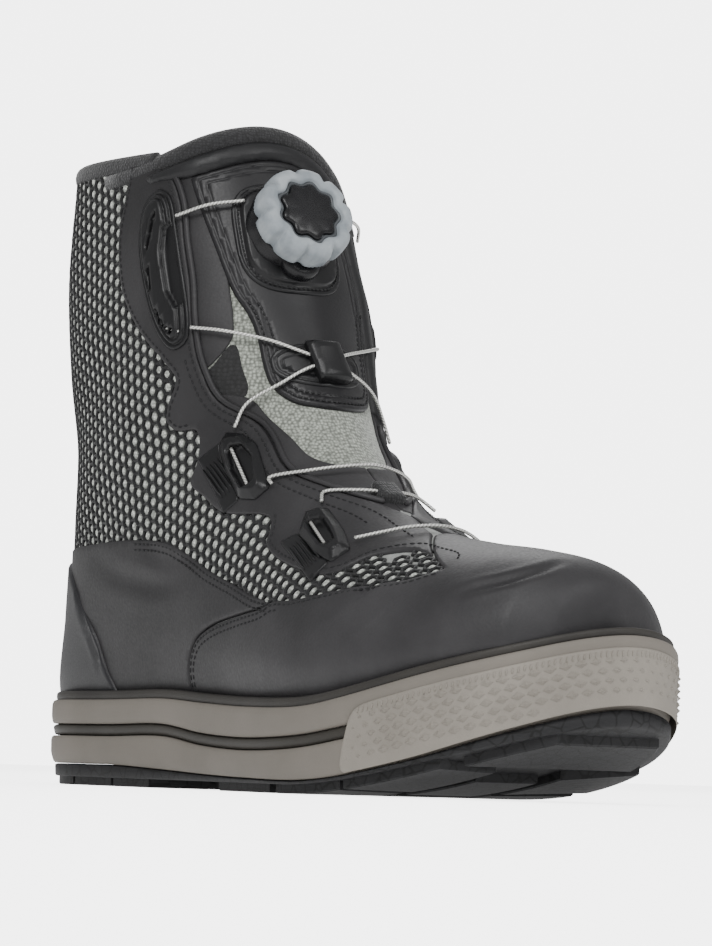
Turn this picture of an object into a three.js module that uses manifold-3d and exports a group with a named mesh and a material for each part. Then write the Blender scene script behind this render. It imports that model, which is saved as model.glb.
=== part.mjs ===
// A right wading boot, standing empty on its sole.
// Millimetres, +Z up, toe towards +X, outer (lateral) side towards -Y.
// The origin lies on the floor, under the middle of the sole's outline.
import * as THREE from 'three';
import { mergeVertices } from 'three/addons/utils/BufferGeometryUtils.js';
import Module from 'manifold-3d';

const wasm = await Module();
wasm.setup();

// Driving sizes of the boot
const length = 316;          // outsole, heel to toe
const ballWidth = 116;       // outsole across the ball of the foot
const heelWidth = 76;        // upper across the heel seat
const legWidth = 94;         // shaft, side to side
const toeHeight = 88;        // floor to the top of the toe box
const instepHeight = 130;    // floor to the top of the instep
const collarHeight = 238;    // floor to the collar's edge
const tongueHeight = 252;    // floor to the tip of the tongue
const wall = 2.4;            // upper
const panel = 1.3;           // overlays sewn on the upper
const counterWall = 2.6;     // moulded heel counter
const gap = 0.3;             // between touching pieces
const tongueWall = 6;        // padded tongue
const seam = 11;             // how far the tongue reaches under the eyestays

// Driving sizes of the sole
const soleHeight = 33;       // floor to the sole's rim at the heel
const toeSpring = 24;        // rim at the toe tip above the rim at the heel
const weltHeight = 3;
const weltSet = 1.6;         // welt and bumper step in from the sole's edge
const stripeSet = 1.2;       // how deep the dark stripe lies
const bumperWall = 4;
const treadDepth = 3.2;      // depth of the lugs
const insoleHeight = 4;
const lastingMargin = 15;    // upper turned in under the insole
const seatDepth = 1.5;       // overlays reach this far into the sole's cup
const feather = 9;           // the upper's underside steps in from the sole's edge

// Driving sizes of the lacing
const cable = 1.5;
const knobWidth = 38.5;
const knobHeight = 11;
const dialStand = 5.5;       // skin of the tongue panel to the underside of the knob
const dialTilt = 21.5;       // degrees, axis above the horizontal
const dialTurn = 8;          // degrees, axis towards the lateral side
const guideHeight = 3.6;
const padHeight = 1.4;
const keeperWidth = 16;
const keeperHeight = 5.2;
const loopStrap = 1.4;
const pullWidth = 15;
const pullHeight = 8;

// How finely the curved forms are divided
const stationCount = 20;
const around = 18;
const soleStations = 14;
const dialSides = 18;

// A table is a line of column names and rows of values
const table = (columns, ...rows) => {
  const names = columns.split(' ');
  return rows.map((row) => Object.fromEntries(names.map((name, i) => [name, row[i]])));
};

// The sole's outline: half widths as shares of the girth named, along as a share of the length
const OUTLINE = table('along girth lateral medial',
  [0.000, 'heel', 0.040, 0.040],
  [0.025, 'heel', -0.319, 0.345],
  [0.095, 'heel', -0.517, 0.491],
  [0.220, 'heel', -0.571, 0.504],
  [0.380, 'heel', -0.611, 0.478],
  [0.515, 'ball', -0.452, 0.370],
  [0.680, 'ball', -0.519, 0.470],
  [0.800, 'ball', -0.487, 0.478],
  [0.905, 'ball', -0.357, 0.430],
  [0.975, 'ball', -0.135, 0.313],
  [1.000, 'ball', 0.104, 0.104]);

// The lines of the sole's side. rim, stripe and frame are shares of the sole's height at the heel,
// spring is the share of the toe spring that each line follows there.
const SIDE = table('along rim stripe frame spring',
  [0.00, 1.000, 0.710, 0.250, 0.00],
  [0.23, 1.000, 0.705, 0.250, 0.00],
  [0.36, 1.010, 0.715, 0.210, 0.00],
  [0.46, 0.960, 0.620, 0.175, 0.00],
  [0.58, 0.915, 0.575, 0.150, 0.00],
  [0.70, 0.905, 0.600, 0.135, 0.02],
  [0.77, 0.960, 0.650, 0.160, 0.08],
  [0.87, 1.050, 0.700, 0.220, 0.30],
  [0.95, 1.040, 0.720, 0.270, 0.66],
  [1.00, 1.010, 0.720, 0.280, 1.00]);
const stripeHeight = 4;
const frameSet = 1.5;        // the frame's lower edge steps in to the tread

// Sections of the upper, from the toe tip up to above the collar. Each section lies in a plane from a
// base point to a top point. girth and rise name the size that its widths and its top follow. topAlong
// and baseAlong are shares of the length, topUp a share of the rise above the sole, baseUp a share of
// the shaft above the sole's rim. low, mid, high are half widths and swing the shift to the inner side,
// all as shares of the girth. flat is the flat part of the underside.
const SECTIONS = table('name girth rise topAlong topUp baseAlong baseUp flat low mid high swing',
  ['tip', 'ball', 'toe', 0.965, 0.600, 0.962, 0.010, 0.60, 0.052, 0.043, 0.026, 0.078],
  ['toe_end', 'ball', 'toe', 0.955, 0.764, 0.955, -0.010, 0.75, 0.195, 0.165, 0.103, 0.069],
  ['toe_edge', 'ball', 'toe', 0.927, 0.873, 0.932, -0.014, 0.80, 0.300, 0.262, 0.155, 0.052],
  ['toe_box', 'ball', 'toe', 0.870, 0.945, 0.880, -0.014, 0.80, 0.385, 0.338, 0.198, 0.026],
  ['toe_back', 'ball', 'toe', 0.791, 1.000, 0.797, -0.014, 0.80, 0.436, 0.376, 0.216, 0.000],
  ['ball', 'ball', 'toe', 0.709, 1.090, 0.703, -0.014, 0.80, 0.450, 0.388, 0.216, -0.017],
  ['vamp', 'ball', 'instep', 0.636, 0.722, 0.601, -0.014, 0.80, 0.431, 0.371, 0.216, -0.026],
  ['waist', 'ball', 'instep', 0.579, 0.856, 0.475, -0.014, 0.78, 0.379, 0.353, 0.216, -0.026],
  ['instep', 'heel', 'instep', 0.535, 1.000, 0.342, -0.014, 0.76, 0.526, 0.540, 0.355, -0.026],
  ['heel_in', 'heel', 'shaft', 0.503, 0.541, 0.172, -0.014, 0.74, 0.500, 0.566, 0.395, -0.013],
  ['heel_low', 'heel', 'shaft', 0.481, 0.605, 0.042, 0.000, 0.60, 0.480, 0.592, 0.434, 0.000],
  ['heel', 'leg', 'shaft', 0.465, 0.663, 0.025, 0.107, 0.45, 0.383, 0.489, 0.372, 0.000],
  ['heel_top', 'leg', 'shaft', 0.449, 0.722, 0.028, 0.254, 0.35, 0.394, 0.500, 0.394, 0.000],
  ['ankle', 'leg', 'shaft', 0.434, 0.785, 0.036, 0.415, 0.35, 0.404, 0.501, 0.394, 0.001],
  ['shin', 'leg', 'shaft', 0.418, 0.854, 0.024, 0.580, 0.35, 0.415, 0.491, 0.384, -0.009],
  ['shaft', 'leg', 'shaft', 0.396, 0.941, 0.020, 0.766, 0.35, 0.426, 0.470, 0.374, -0.009],
  ['collar', 'leg', 'shaft', 0.370, 1.039, 0.026, 0.966, 0.35, 0.426, 0.454, 0.359, -0.014],
  ['above', 'leg', 'shaft', 0.342, 1.137, 0.030, 1.098, 0.35, 0.426, 0.449, 0.354, -0.019]);
const GIRTH = { ball: ballWidth, heel: heelWidth, leg: legWidth };
const RISE = { toe: toeHeight - soleHeight, instep: instepHeight - soleHeight, shaft: collarHeight - soleHeight };
// Heights on a section's own axis at which the columns low, mid and high hold
const LEVEL = { low: 0.22, mid: 0.60, high: 0.88 };

const rise = collarHeight - soleHeight;

// The sole's plan and side as functions of the distance from the heel
const planPoints = [
  ...OUTLINE.map((row) => new THREE.Vector3(row.along * length, row.lateral * GIRTH[row.girth], 0)),
  ...OUTLINE.slice(1, -1).reverse()
    .map((row) => new THREE.Vector3(row.along * length, row.medial * GIRTH[row.girth], 0))];
const plan = new THREE.CatmullRomCurve3(planPoints, true);
const planSteps = 30 * planPoints.length;
const planRing = plan.getPoints(planSteps);
const planBox = new THREE.Box3().setFromPoints(planRing);
const centreLine = (planBox.min.y + planBox.max.y) / 2;

// Half width of the sole's outline at x, on the lateral (-1) or medial (1) side
function outlineAt(x, side) {
  const tip = planSteps * (OUTLINE.length - 1) / planPoints.length;
  const run = side < 0 ? planRing.slice(0, tip + 1) : planRing.slice(tip, planSteps + 1).reverse();
  for (let i = 1; i < run.length; i += 1) {
    if (run[i].x >= x) {
      const share = (x - run[i - 1].x) / Math.max(run[i].x - run[i - 1].x, 1e-6);
      return run[i - 1].y + share * (run[i].y - run[i - 1].y);
    }
  }
  return run.at(-1).y;
}

// A line of the sole's side as a height at x
const sideCurve = (column) => new THREE.CatmullRomCurve3(
  SIDE.map((row) => new THREE.Vector3(row.along * length, row[column] * soleHeight, row.spring * toeSpring)));
const SIDE_CURVES = { rim: sideCurve('rim'), stripe: sideCurve('stripe'), frame: sideCurve('frame') };
function sideAt(column, x) {
  const points = SIDE_CURVES[column].getPoints(90);
  const last = points.length - 1;
  const i = x >= points[last].x ? last : Math.max(1, points.findIndex((point) => point.x >= x));
  const share = THREE.MathUtils.clamp((x - points[i - 1].x) / (points[i].x - points[i - 1].x), 0, 1);
  const at = points[i - 1].clone().lerp(points[i], share);
  return at.y + at.z;
}
const rimAt = (x) => sideAt('rim', x);
const stripeAt = (x) => sideAt('stripe', x);
const frameAt = (x) => sideAt('frame', x);
// The floor line of the tread: flat under heel and ball, then rising to the toe
const springFrom = 0.655 * length;
const floorAt = (x) => toeSpring * Math.max(0, (x - springFrom) / (length - springFrom)) ** 2;

// Solids and meshes
function solid(geometry) {
  const plain = geometry.clone();
  plain.deleteAttribute('normal');
  plain.deleteAttribute('uv');
  const merged = mergeVertices(plain, 1e-4);
  const corners = Array.from(merged.index.array);
  const triangles = corners.filter((_, i) => {
    const [a, b, c] = corners.slice(i - i % 3, i - i % 3 + 3);
    return a !== b && b !== c && c !== a;
  });
  return new wasm.Manifold(new wasm.Mesh({
    numProp: 3,
    vertProperties: new Float32Array(merged.attributes.position.array),
    triVerts: new Uint32Array(triangles),
  }));
}

function fromIndexed(points, triangles) {
  const geometry = new THREE.BufferGeometry();
  geometry.setAttribute('position', new THREE.Float32BufferAttribute(points.flatMap((p) => [p.x, p.y, p.z]), 3));
  geometry.setIndex(triangles.flat());
  return solid(geometry);
}

const boot = new THREE.Group();
boot.position.set(-length / 2, -centreLine, 0);

function add(name, body, material) {
  const result = body.getMesh();
  const geometry = new THREE.BufferGeometry();
  geometry.setAttribute('position', new THREE.BufferAttribute(result.vertProperties, 3));
  geometry.setIndex(new THREE.BufferAttribute(result.triVerts, 1));
  geometry.computeVertexNormals();
  const mesh = new THREE.Mesh(geometry, material);
  mesh.name = name;
  boot.add(mesh);
  return body;
}

// A straight prism: an outline in the plane of two axes, pushed along their cross product
function prism(outline, origin, xAxis, yAxis, depth) {
  const shape = new THREE.Shape(outline.map(([x, y]) => new THREE.Vector2(x, y)));
  const geometry = new THREE.ExtrudeGeometry(shape, { depth, bevelEnabled: false });
  const zAxis = xAxis.clone().cross(yAxis);
  geometry.applyMatrix4(new THREE.Matrix4().makeBasis(xAxis, yAxis, zAxis).setPosition(origin));
  return solid(geometry);
}
const X = new THREE.Vector3(1, 0, 0);
const Y = new THREE.Vector3(0, 1, 0);
const Z = new THREE.Vector3(0, 0, 1);
const reach = ballWidth;

// An outline seen from the side, cut through the lateral half, the medial half or both. The halves meet
// at the middle of the forefoot.
const divide = -0.026 * ballWidth;
const sidePrism = (outline, side) => prism(outline, new THREE.Vector3(0, side < 0 ? divide : reach, 0), X, Z,
  side === 0 ? 2 * reach : reach - divide);
// An outline seen from the front, cut from the middle of the foot forwards or from there backwards
const frontPrism = (outline) => prism(outline, new THREE.Vector3(0.2 * length, 0, 0), Y, Z, length);
const backPrism = (outline) => prism(outline, new THREE.Vector3(-0.1 * length, 0, 0), Y, Z, 0.3 * length);

// The form of the foot and leg: a grid of points with outward directions
const grid = (() => {
  const curve = (pick) => new THREE.CatmullRomCurve3(SECTIONS.map(pick));
  const top = curve((row) => new THREE.Vector3(row.topAlong * length, 0, soleHeight + row.topUp * RISE[row.rise]));
  const base = curve((row) => new THREE.Vector3(row.baseAlong * length, 0,
    rimAt(row.baseAlong * length) + row.baseUp * rise));
  const half = curve((row) => new THREE.Vector3(row.low, row.mid, row.high).multiplyScalar(GIRTH[row.girth]));
  const turn = curve((row) => new THREE.Vector3(row.flat * GIRTH.ball / 2, row.swing * GIRTH[row.girth], 0));
  const points = [];
  for (let i = 0; i < stationCount; i += 1) {
    const t = i / (stationCount - 1);
    const foot = base.getPoint(t);
    const axis = top.getPoint(t).sub(foot);
    const high = axis.length();
    const { x: low, y: mid, z: upper } = half.getPoint(t);
    const { x: flat, y: swing } = turn.getPoint(t);
    const under = low * flat / (GIRTH.ball / 2);
    const right = [[under, 0], [low, LEVEL.low], [mid, LEVEL.mid], [upper, LEVEL.high]];
    const ring = new THREE.CatmullRomCurve3([
      [0, 0], ...right.map(([y, h]) => [-y, h]), [0, 1], ...right.reverse()]
      .map(([y, h]) => new THREE.Vector3(y, h * high, 0)), true);
    // One step across each half of the underside, even steps over the rest
    points.push(Array.from({ length: around }, (_, j) => {
      const { x: y, y: h } = ring.getPoint(j === 0 ? 0 : (j + 1) / (around + 2));
      return foot.clone().addScaledVector(axis, h / high).add(new THREE.Vector3(0, y + swing, 0));
    }));
  }
  const directions = points.map((ring, i) => ring.map((point, j) => {
    const along = points[Math.min(i + 1, stationCount - 1)][j].clone().sub(points[Math.max(i - 1, 0)][j]);
    const across = ring[(j + 1) % around].clone().sub(ring[(j + around - 1) % around]);
    const direction = across.cross(along).normalize();
    return i === 0 ? direction.add(X).normalize() : direction;
  }));
  return { points, directions };
})();

// The closed form, grown or shrunk by out, from one station on
function form(out, first = 0) {
  const points = [];
  for (let i = first; i < stationCount; i += 1) {
    grid.points[i].forEach((point, j) => points.push(point.clone().addScaledVector(grid.directions[i][j], out)));
  }
  const rows = stationCount - first;
  const middle = (ring) => ring.reduce((sum, p) => sum.add(p), new THREE.Vector3()).divideScalar(around);
  points.push(middle(points.slice(0, around)));
  points.push(middle(points.slice((rows - 1) * around, rows * around)));
  if (first === 0) points[rows * around].addScaledVector(X, out);
  const triangles = [];
  for (let j = 0; j < around; j += 1) {
    const next = (j + 1) % around;
    triangles.push([rows * around, next, j]);
    triangles.push([rows * around + 1, (rows - 1) * around + j, (rows - 1) * around + next]);
    for (let i = 0; i < rows - 1; i += 1) {
      const a = i * around + j;
      const b = i * around + next;
      triangles.push([a, b, b + around], [a, b + around, a + around]);
    }
  }
  return fromIndexed(points, triangles);
}

// The skin between two distances from the form
const skin = (from, to, first = 0) => form(to, first).subtract(form(from, first));

// A point on the form, found by two of its coordinates, pushed out along the form's direction
function seat(first, second, target, better, out) {
  let best = null;
  for (let i = 0; i < stationCount - 1; i += 1) {
    for (let j = 0; j < around; j += 1) {
      const k = (j + 1) % around;
      for (const corners of [[[i, j], [i, k], [i + 1, k]], [[i, j], [i + 1, k], [i + 1, j]]]) {
        const [a, b, c] = corners.map(([m, n]) => grid.points[m][n]);
        const area = (b[first] - a[first]) * (c[second] - a[second]) - (c[first] - a[first]) * (b[second] - a[second]);
        const u = ((target[0] - a[first]) * (c[second] - a[second]) - (c[first] - a[first]) * (target[1] - a[second])) / area;
        const v = ((b[first] - a[first]) * (target[1] - a[second]) - (target[0] - a[first]) * (b[second] - a[second])) / area;
        if (u >= 0 && v >= 0 && u + v <= 1) {
          const weights = [1 - u - v, u, v];
          const point = new THREE.Vector3();
          const direction = new THREE.Vector3();
          corners.forEach(([m, n], q) => {
            point.addScaledVector(grid.points[m][n], weights[q]);
            direction.addScaledVector(grid.directions[m][n], weights[q]);
          });
          if (!best || better(point, best.point)) best = { point, direction: direction.normalize() };
        }
      }
    }
  }
  return best.point.clone().addScaledVector(best.direction, out);
}
const onSide = (along, up, side, out) => seat('x', 'z', [along, up], (p, q) => p.y * side > q.y * side, out);
const onFront = (across, up, out) => seat('y', 'z', [across, up], (p, q) => p.x > q.x, out);

// A layer of the sole between two lines of its side. It steps in from the outline by inset, and by
// insetLow at its lower face.
const insetWidth = 0.42 * ballWidth;
function slab({ inset = 0, insetLow = inset, low, high }) {
  const points = [];
  const corner = (share, side, step, height) => {
    const x = share * length;
    const middle = (outlineAt(x, -1) + outlineAt(x, 1)) / 2;
    const atEnd = share === 0 || share === 1;
    const half = atEnd ? 0 : (outlineAt(x, 1) - outlineAt(x, -1)) / 2 * (1 - step / insetWidth);
    const at = step + share * (length - 2 * step);
    return new THREE.Vector3(at, middle + side * half, height(at));
  };
  for (let i = 0; i <= soleStations; i += 1) {
    const share = (1 - Math.cos(Math.PI * i / soleStations)) / 2;
    points.push(corner(share, -1, insetLow, low), corner(share, 1, insetLow, low),
      corner(share, -1, inset, high), corner(share, 1, inset, high));
  }
  const triangles = [];
  for (let i = 0; i < soleStations; i += 1) {
    const [latLow, medLow, latHigh, medHigh] = [0, 1, 2, 3].map((k) => 4 * i + k);
    const [latLowNext, medLowNext, latHighNext, medHighNext] = [4, 5, 6, 7].map((k) => 4 * i + k);
    triangles.push([latHigh, latHighNext, medHighNext], [latHigh, medHighNext, medHigh],
      [latLow, medLowNext, latLowNext], [latLow, medLow, medLowNext],
      [latHigh, latLow, latLowNext], [latHigh, latLowNext, latHighNext],
      [medHigh, medLowNext, medLow], [medHigh, medHighNext, medLowNext]);
  }
  return fromIndexed(points, triangles);
}

// Heights on the outlines' scale: 0 is the sole's rim, 1 the collar, and the instep lies in between
const instepLevel = 0.473;
const heightOf = (up) => (up < instepLevel ? soleHeight + up / instepLevel * RISE.instep
  : instepHeight + (up - instepLevel) / (1 - instepLevel) * (collarHeight - instepHeight));

// Outlines of panels, seen from the side: along is a share of the length, up a height on their scale
const outlineOf = (rows) => table('along up', ...rows).map((row) => [row.along * length, heightOf(row.up)]);

// An outline grown outwards by a distance, with its corners kept sharp
function grow(outline, by) {
  const area = outline.reduce((sum, [x, y], i) => {
    const [nextX, nextY] = outline[(i + 1) % outline.length];
    return sum + x * nextY - nextX * y;
  }, 0);
  const turn = Math.sign(area);
  return outline.map(([x, y], i) => {
    const before = outline[(i + outline.length - 1) % outline.length];
    const after = outline[(i + 1) % outline.length];
    const normals = [[before, [x, y]], [[x, y], after]].map(([[fromX, fromY], [toX, toY]]) => {
      const run = Math.hypot(toX - fromX, toY - fromY);
      return new THREE.Vector2(turn * (toY - fromY) / run, -turn * (toX - fromX) / run);
    });
    const middle = normals[0].clone().add(normals[1]).normalize();
    const stretch = by / Math.max(middle.dot(normals[0]), 0.5);
    return [x + middle.x * stretch, y + middle.y * stretch];
  });
}

// The throat: its edge from the collar down to the vamp, then far out in front of the boot
const THROAT_EDGE = outlineOf([
  [0.272, 1.150], [0.288, 1.000], [0.316, 0.971], [0.335, 0.922], [0.351, 0.844], [0.367, 0.766], [0.380, 0.673],
  [0.396, 0.590], [0.415, 0.541], [0.468, 0.493], [0.522, 0.410], [0.576, 0.373], [0.633, 0.341], [0.690, 0.302],
  [0.722, 0.284]]);
const THROAT = [...THROAT_EDGE, ...outlineOf([[0.760, 0.380], [0.760, 1.150]])];

// The toe panel, from its seam behind the ball forwards, up to the foot of the throat
const TOE_RAND = outlineOf([
  [0.405, -0.300], [0.405, 0.018], [0.409, 0.067], [0.428, 0.104], [0.465, 0.127], [0.538, 0.146], [0.582, 0.156],
  [0.601, 0.167], [0.636, 0.168], [0.696, 0.180], [0.747, 0.190], [0.797, 0.198], [0.829, 0.215], [0.722, 0.284],
  [0.700, 0.400], [1.100, 0.400], [1.100, -0.300]]);
// The heel panel, up to the seam of the toe panel
const HEEL_PANEL = outlineOf([
  [-0.100, -0.300], [-0.100, 0.291], [0.171, 0.291], [0.291, 0.293], [0.361, 0.283], [0.399, 0.263], [0.453, 0.228],
  [0.506, 0.203], [0.557, 0.178], [0.610, 0.166], [0.500, -0.300]]);
const COUNTER = outlineOf([
  [-0.100, -0.300], [-0.100, 0.268], [0.060, 0.268], [0.105, 0.238], [0.146, 0.185], [0.180, 0.129], [0.199, 0.071],
  [0.222, 0.020], [0.240, -0.050], [0.240, -0.300]]);
// The edge of the eyestay and its lower facing towards the mesh, from the collar down and forwards
const EYESTAY_EDGE = outlineOf([
  [0.247, 1.150], [0.247, 0.990], [0.241, 0.934], [0.234, 0.860], [0.253, 0.761], [0.291, 0.681], [0.345, 0.611],
  [0.361, 0.582], [0.348, 0.532], [0.348, 0.504], [0.364, 0.486], [0.392, 0.485], [0.399, 0.429], [0.392, 0.390],
  [0.418, 0.364], [0.456, 0.332], [0.535, 0.319], [0.544, 0.295], [0.547, 0.271], [0.570, 0.247], [0.620, 0.222],
  [0.661, 0.210], [0.687, 0.219], [0.706, 0.243], [0.737, 0.254], [0.775, 0.245], [0.820, 0.229], [0.829, 0.215]]);
const EYESTAY = [...EYESTAY_EDGE, ...outlineOf([[0.850, 0.215], [0.850, 0.320], [0.722, 0.320]]),
  ...THROAT_EDGE.slice().reverse()];

// Materials
const material = (color, roughness, metalness = 0) => new THREE.MeshStandardMaterial({ color, roughness, metalness });
const MESH = material(0x8d918e, 0.9);
const SYNTHETIC = material(0x36353a, 0.55);
const MOULDED = material(0x47474a, 0.5);
const KNIT = material(0x8e948f, 0.95);
const SOLE_GREY = material(0x8e867d, 0.7);
const STRIPE = material(0x46423c, 0.7);
const BLACK_RUBBER = material(0x1d1c1e, 0.8);
const DARK_PLASTIC = material(0x222226, 0.4);
const RING = material(0x8c98a6, 0.55);
const STEEL = material(0xc9ced2, 0.35, 0.9);
const WEBBING = material(0x1f1f22, 0.85);
const FOAM = material(0x2f3133, 0.95);

// Upper: one hollow shell, open at the collar, down the throat and underneath
const inner = form(-wall);
const aboveCollar = sidePrism([[-length, collarHeight], [-length, 2 * collarHeight], [2 * length, 2 * collarHeight],
  [2 * length, collarHeight]], 0);
const throat = sidePrism(THROAT, 0);
const underneath = slab({ inset: feather + lastingMargin, low: () => -reach, high: (x) => rimAt(x) + gap });
add('upper', form(0).subtract(inner).subtract(aboveCollar).subtract(throat).subtract(underneath), MESH);

// Overlays, cut from one skin over the upper
const belowRim = slab({ inset: -feather, low: () => -reach, high: (x) => rimAt(x) - seatDepth });
const overlay = skin(gap, gap + panel).subtract(aboveCollar).subtract(sidePrism(grow(THROAT, gap), 0))
  .subtract(belowRim);
const counterSkin = skin(gap, gap + counterWall).subtract(belowRim);
const rand = sidePrism(TOE_RAND, 0);
const randCut = sidePrism(grow(TOE_RAND, gap), 0);
const counterCut = sidePrism(grow(COUNTER, gap), 0);
const heelCut = sidePrism(grow(HEEL_PANEL, gap), 0);
add('toe_rand', overlay.intersect(rand), SYNTHETIC);
add('heel_panel', overlay.intersect(sidePrism(HEEL_PANEL, 0)).subtract(randCut).subtract(counterCut), MOULDED);
add('heel_counter', counterSkin.intersect(sidePrism(COUNTER, 0)), MOULDED);
const backstayWidth = 0.56 * legWidth;
add('backstay', overlay.intersect(backPrism([[-backstayWidth / 2, 0], [backstayWidth / 2, 0],
  [backstayWidth / 2, 2 * collarHeight], [-backstayWidth / 2, 2 * collarHeight]])).subtract(heelCut)
  .subtract(counterCut), SYNTHETIC);
const SIDES = [['lateral', -1], ['medial', 1]];
const eyestayCut = sidePrism(grow(TOE_RAND, 3 * gap), 0);
for (const [name, side] of SIDES) {
  add(`eyestay_${name}`, overlay.intersect(sidePrism(EYESTAY, side)).subtract(eyestayCut), SYNTHETIC);
}

// Tongue: padded, tucked under the eyestays and rising into the throat
const tongueBack = -(wall + gap + tongueWall);
const tongueFirst = Math.round(0.2 * stationCount);
const tongueLap = 1;         // how far the raised middle reaches into the tucked edges
const TONGUE_TOP = table('across drop', [-0.52, 0.110], [-0.44, 0.048], [-0.28, 0.014], [0, 0], [0.28, 0.014],
  [0.44, 0.048], [0.52, 0.110]).map((row) => [row.across * legWidth, tongueHeight * (1 - row.drop)]);
const tongueFront = frontPrism([[-legWidth / 2, 0], ...TONGUE_TOP, [legWidth / 2, 0]]);
const hiddenEdge = THROAT.filter((_, i) => i % 2 === 0 || i === THROAT.length - 1);
const tucked = skin(tongueBack, -(wall + gap), tongueFirst).intersect(sidePrism(grow(hiddenEdge, seam), 0));
const raised = skin(-(wall + gap + tongueLap), -gap, tongueFirst).intersect(sidePrism(grow(THROAT, -tongueLap), 0));
add('tongue', tucked.add(raised).intersect(tongueFront), KNIT);

const PANEL = table('across up', [-0.12, 0.532], [-0.20, 0.552], [-0.24, 0.620], [-0.26, 0.690], [-0.31, 0.790],
  [-0.33, 0.900], [-0.32, 1.000], [0.25, 1.000], [0.265, 0.900], [0.265, 0.790], [0.25, 0.690], [0.24, 0.620],
  [0.20, 0.552], [0.12, 0.532])
  .map((row) => [row.across * legWidth, heightOf(row.up)]);
const panelSkin = panel;
add('tongue_panel', skin(0, panelSkin, tongueFirst).intersect(frontPrism(PANEL)), SYNTHETIC);

// Dial: housing with its flange on the tongue panel, the ring and the cap
const across = new THREE.Vector3(0, 1, 0);
// A flat frame on the front of the boot: origin on the form, one axis across, one up along the surface
function frontFrame(side, up) {
  const origin = onFront(side, up, 0);
  const out = onFront(side, up, 1).sub(origin);
  const upward = out.clone().cross(across).normalize();
  return { origin, upward, out: across.clone().cross(upward) };
}
const frontBlock = ({ origin, upward, out }, outline, from, to) => prism(outline,
  origin.clone().addScaledVector(out, from), across, upward, to - from);
const rectangle = (width, height, corner) => [
  [-width / 2 + corner, -height / 2], [width / 2 - corner, -height / 2], [width / 2, -height / 2 + corner],
  [width / 2, height / 2 - corner], [width / 2 - corner, height / 2], [-width / 2 + corner, height / 2],
  [-width / 2, height / 2 - corner], [-width / 2, -height / 2 + corner]];

const swing = -0.064 * legWidth;
const dialUp = heightOf(0.866);
const flangeUp = heightOf(0.85);
const dialSeat = onFront(swing, dialUp, panelSkin);
const tilt = THREE.MathUtils.degToRad(dialTilt);
const turn = THREE.MathUtils.degToRad(dialTurn);
const dialAxis = new THREE.Vector3(Math.cos(tilt) * Math.cos(turn), -Math.cos(tilt) * Math.sin(turn), Math.sin(tilt));
// A turned body on the dial's axis, its profile given by radius and height above the tongue panel
function turned(profile, sides) {
  const geometry = new THREE.LatheGeometry(profile.map(([r, h]) => new THREE.Vector2(r, h)), sides);
  const toAxis = new THREE.Quaternion().setFromUnitVectors(Y, dialAxis);
  geometry.applyMatrix4(new THREE.Matrix4().compose(dialSeat, toAxis, new THREE.Vector3(1, 1, 1)));
  return solid(geometry);
}
const flangeWidth = 1.08 * knobWidth;
const flangeHeight = 1.12 * knobWidth;
const flangeWall = 1.6;
const dialGround = form(panelSkin + gap);
const flange = skin(panelSkin + gap, panelSkin + gap + flangeWall, tongueFirst)
  .intersect(frontBlock(frontFrame(swing, flangeUp), rectangle(flangeWidth, flangeHeight, 0.28 * knobWidth), -knobWidth,
    knobWidth));
const podLow = 0.47 * knobWidth;
const podHigh = 0.43 * knobWidth;
const post = 0.16 * knobWidth;
const capTop = dialStand + gap + knobHeight - 1;
const capWall = 3;
const ringInner = 0.35 * knobWidth;
add('dial_base', turned([[0, -knobWidth / 2], [podLow, -knobWidth / 2], [podLow, 0.4 * dialStand], [podHigh, dialStand],
  [post, dialStand], [post, capTop - capWall - gap], [0, capTop - capWall - gap]], dialSides)
  .subtract(dialGround).add(flange), DARK_PLASTIC);
const bevel = 0.06 * knobWidth;
let ring = turned([[ringInner, dialStand + gap], [knobWidth / 2 - bevel, dialStand + gap],
  [knobWidth / 2, dialStand + gap + bevel], [knobWidth / 2, dialStand + gap + knobHeight - bevel],
  [knobWidth / 2 - bevel, dialStand + gap + knobHeight], [ringInner, dialStand + gap + knobHeight],
  [ringInner, dialStand + gap]], dialSides);
const grips = 8;
const gripWidth = 0.1 * knobWidth;
for (let i = 0; i < grips; i += 1) {
  const angle = 2 * Math.PI * (i + 0.5) / grips;
  const groove = new THREE.CylinderGeometry(gripWidth, gripWidth, 3 * knobHeight, 6);
  groove.translate(Math.cos(angle) * (knobWidth / 2 + 0.55 * gripWidth), dialStand, Math.sin(angle)
    * (knobWidth / 2 + 0.55 * gripWidth));
  const toAxis = new THREE.Quaternion().setFromUnitVectors(Y, dialAxis);
  groove.applyMatrix4(new THREE.Matrix4().compose(dialSeat, toAxis, new THREE.Vector3(1, 1, 1)));
  ring = ring.subtract(solid(groove));
}
add('dial_knob', ring, RING);
const capEdge = ringInner - gap;
add('dial_cap', turned([[0, capTop - capWall], [capEdge, capTop - capWall], [capEdge, capTop - 1],
  [capEdge - 1.5, capTop], [0, capTop]], dialSides), DARK_PLASTIC);

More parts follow.
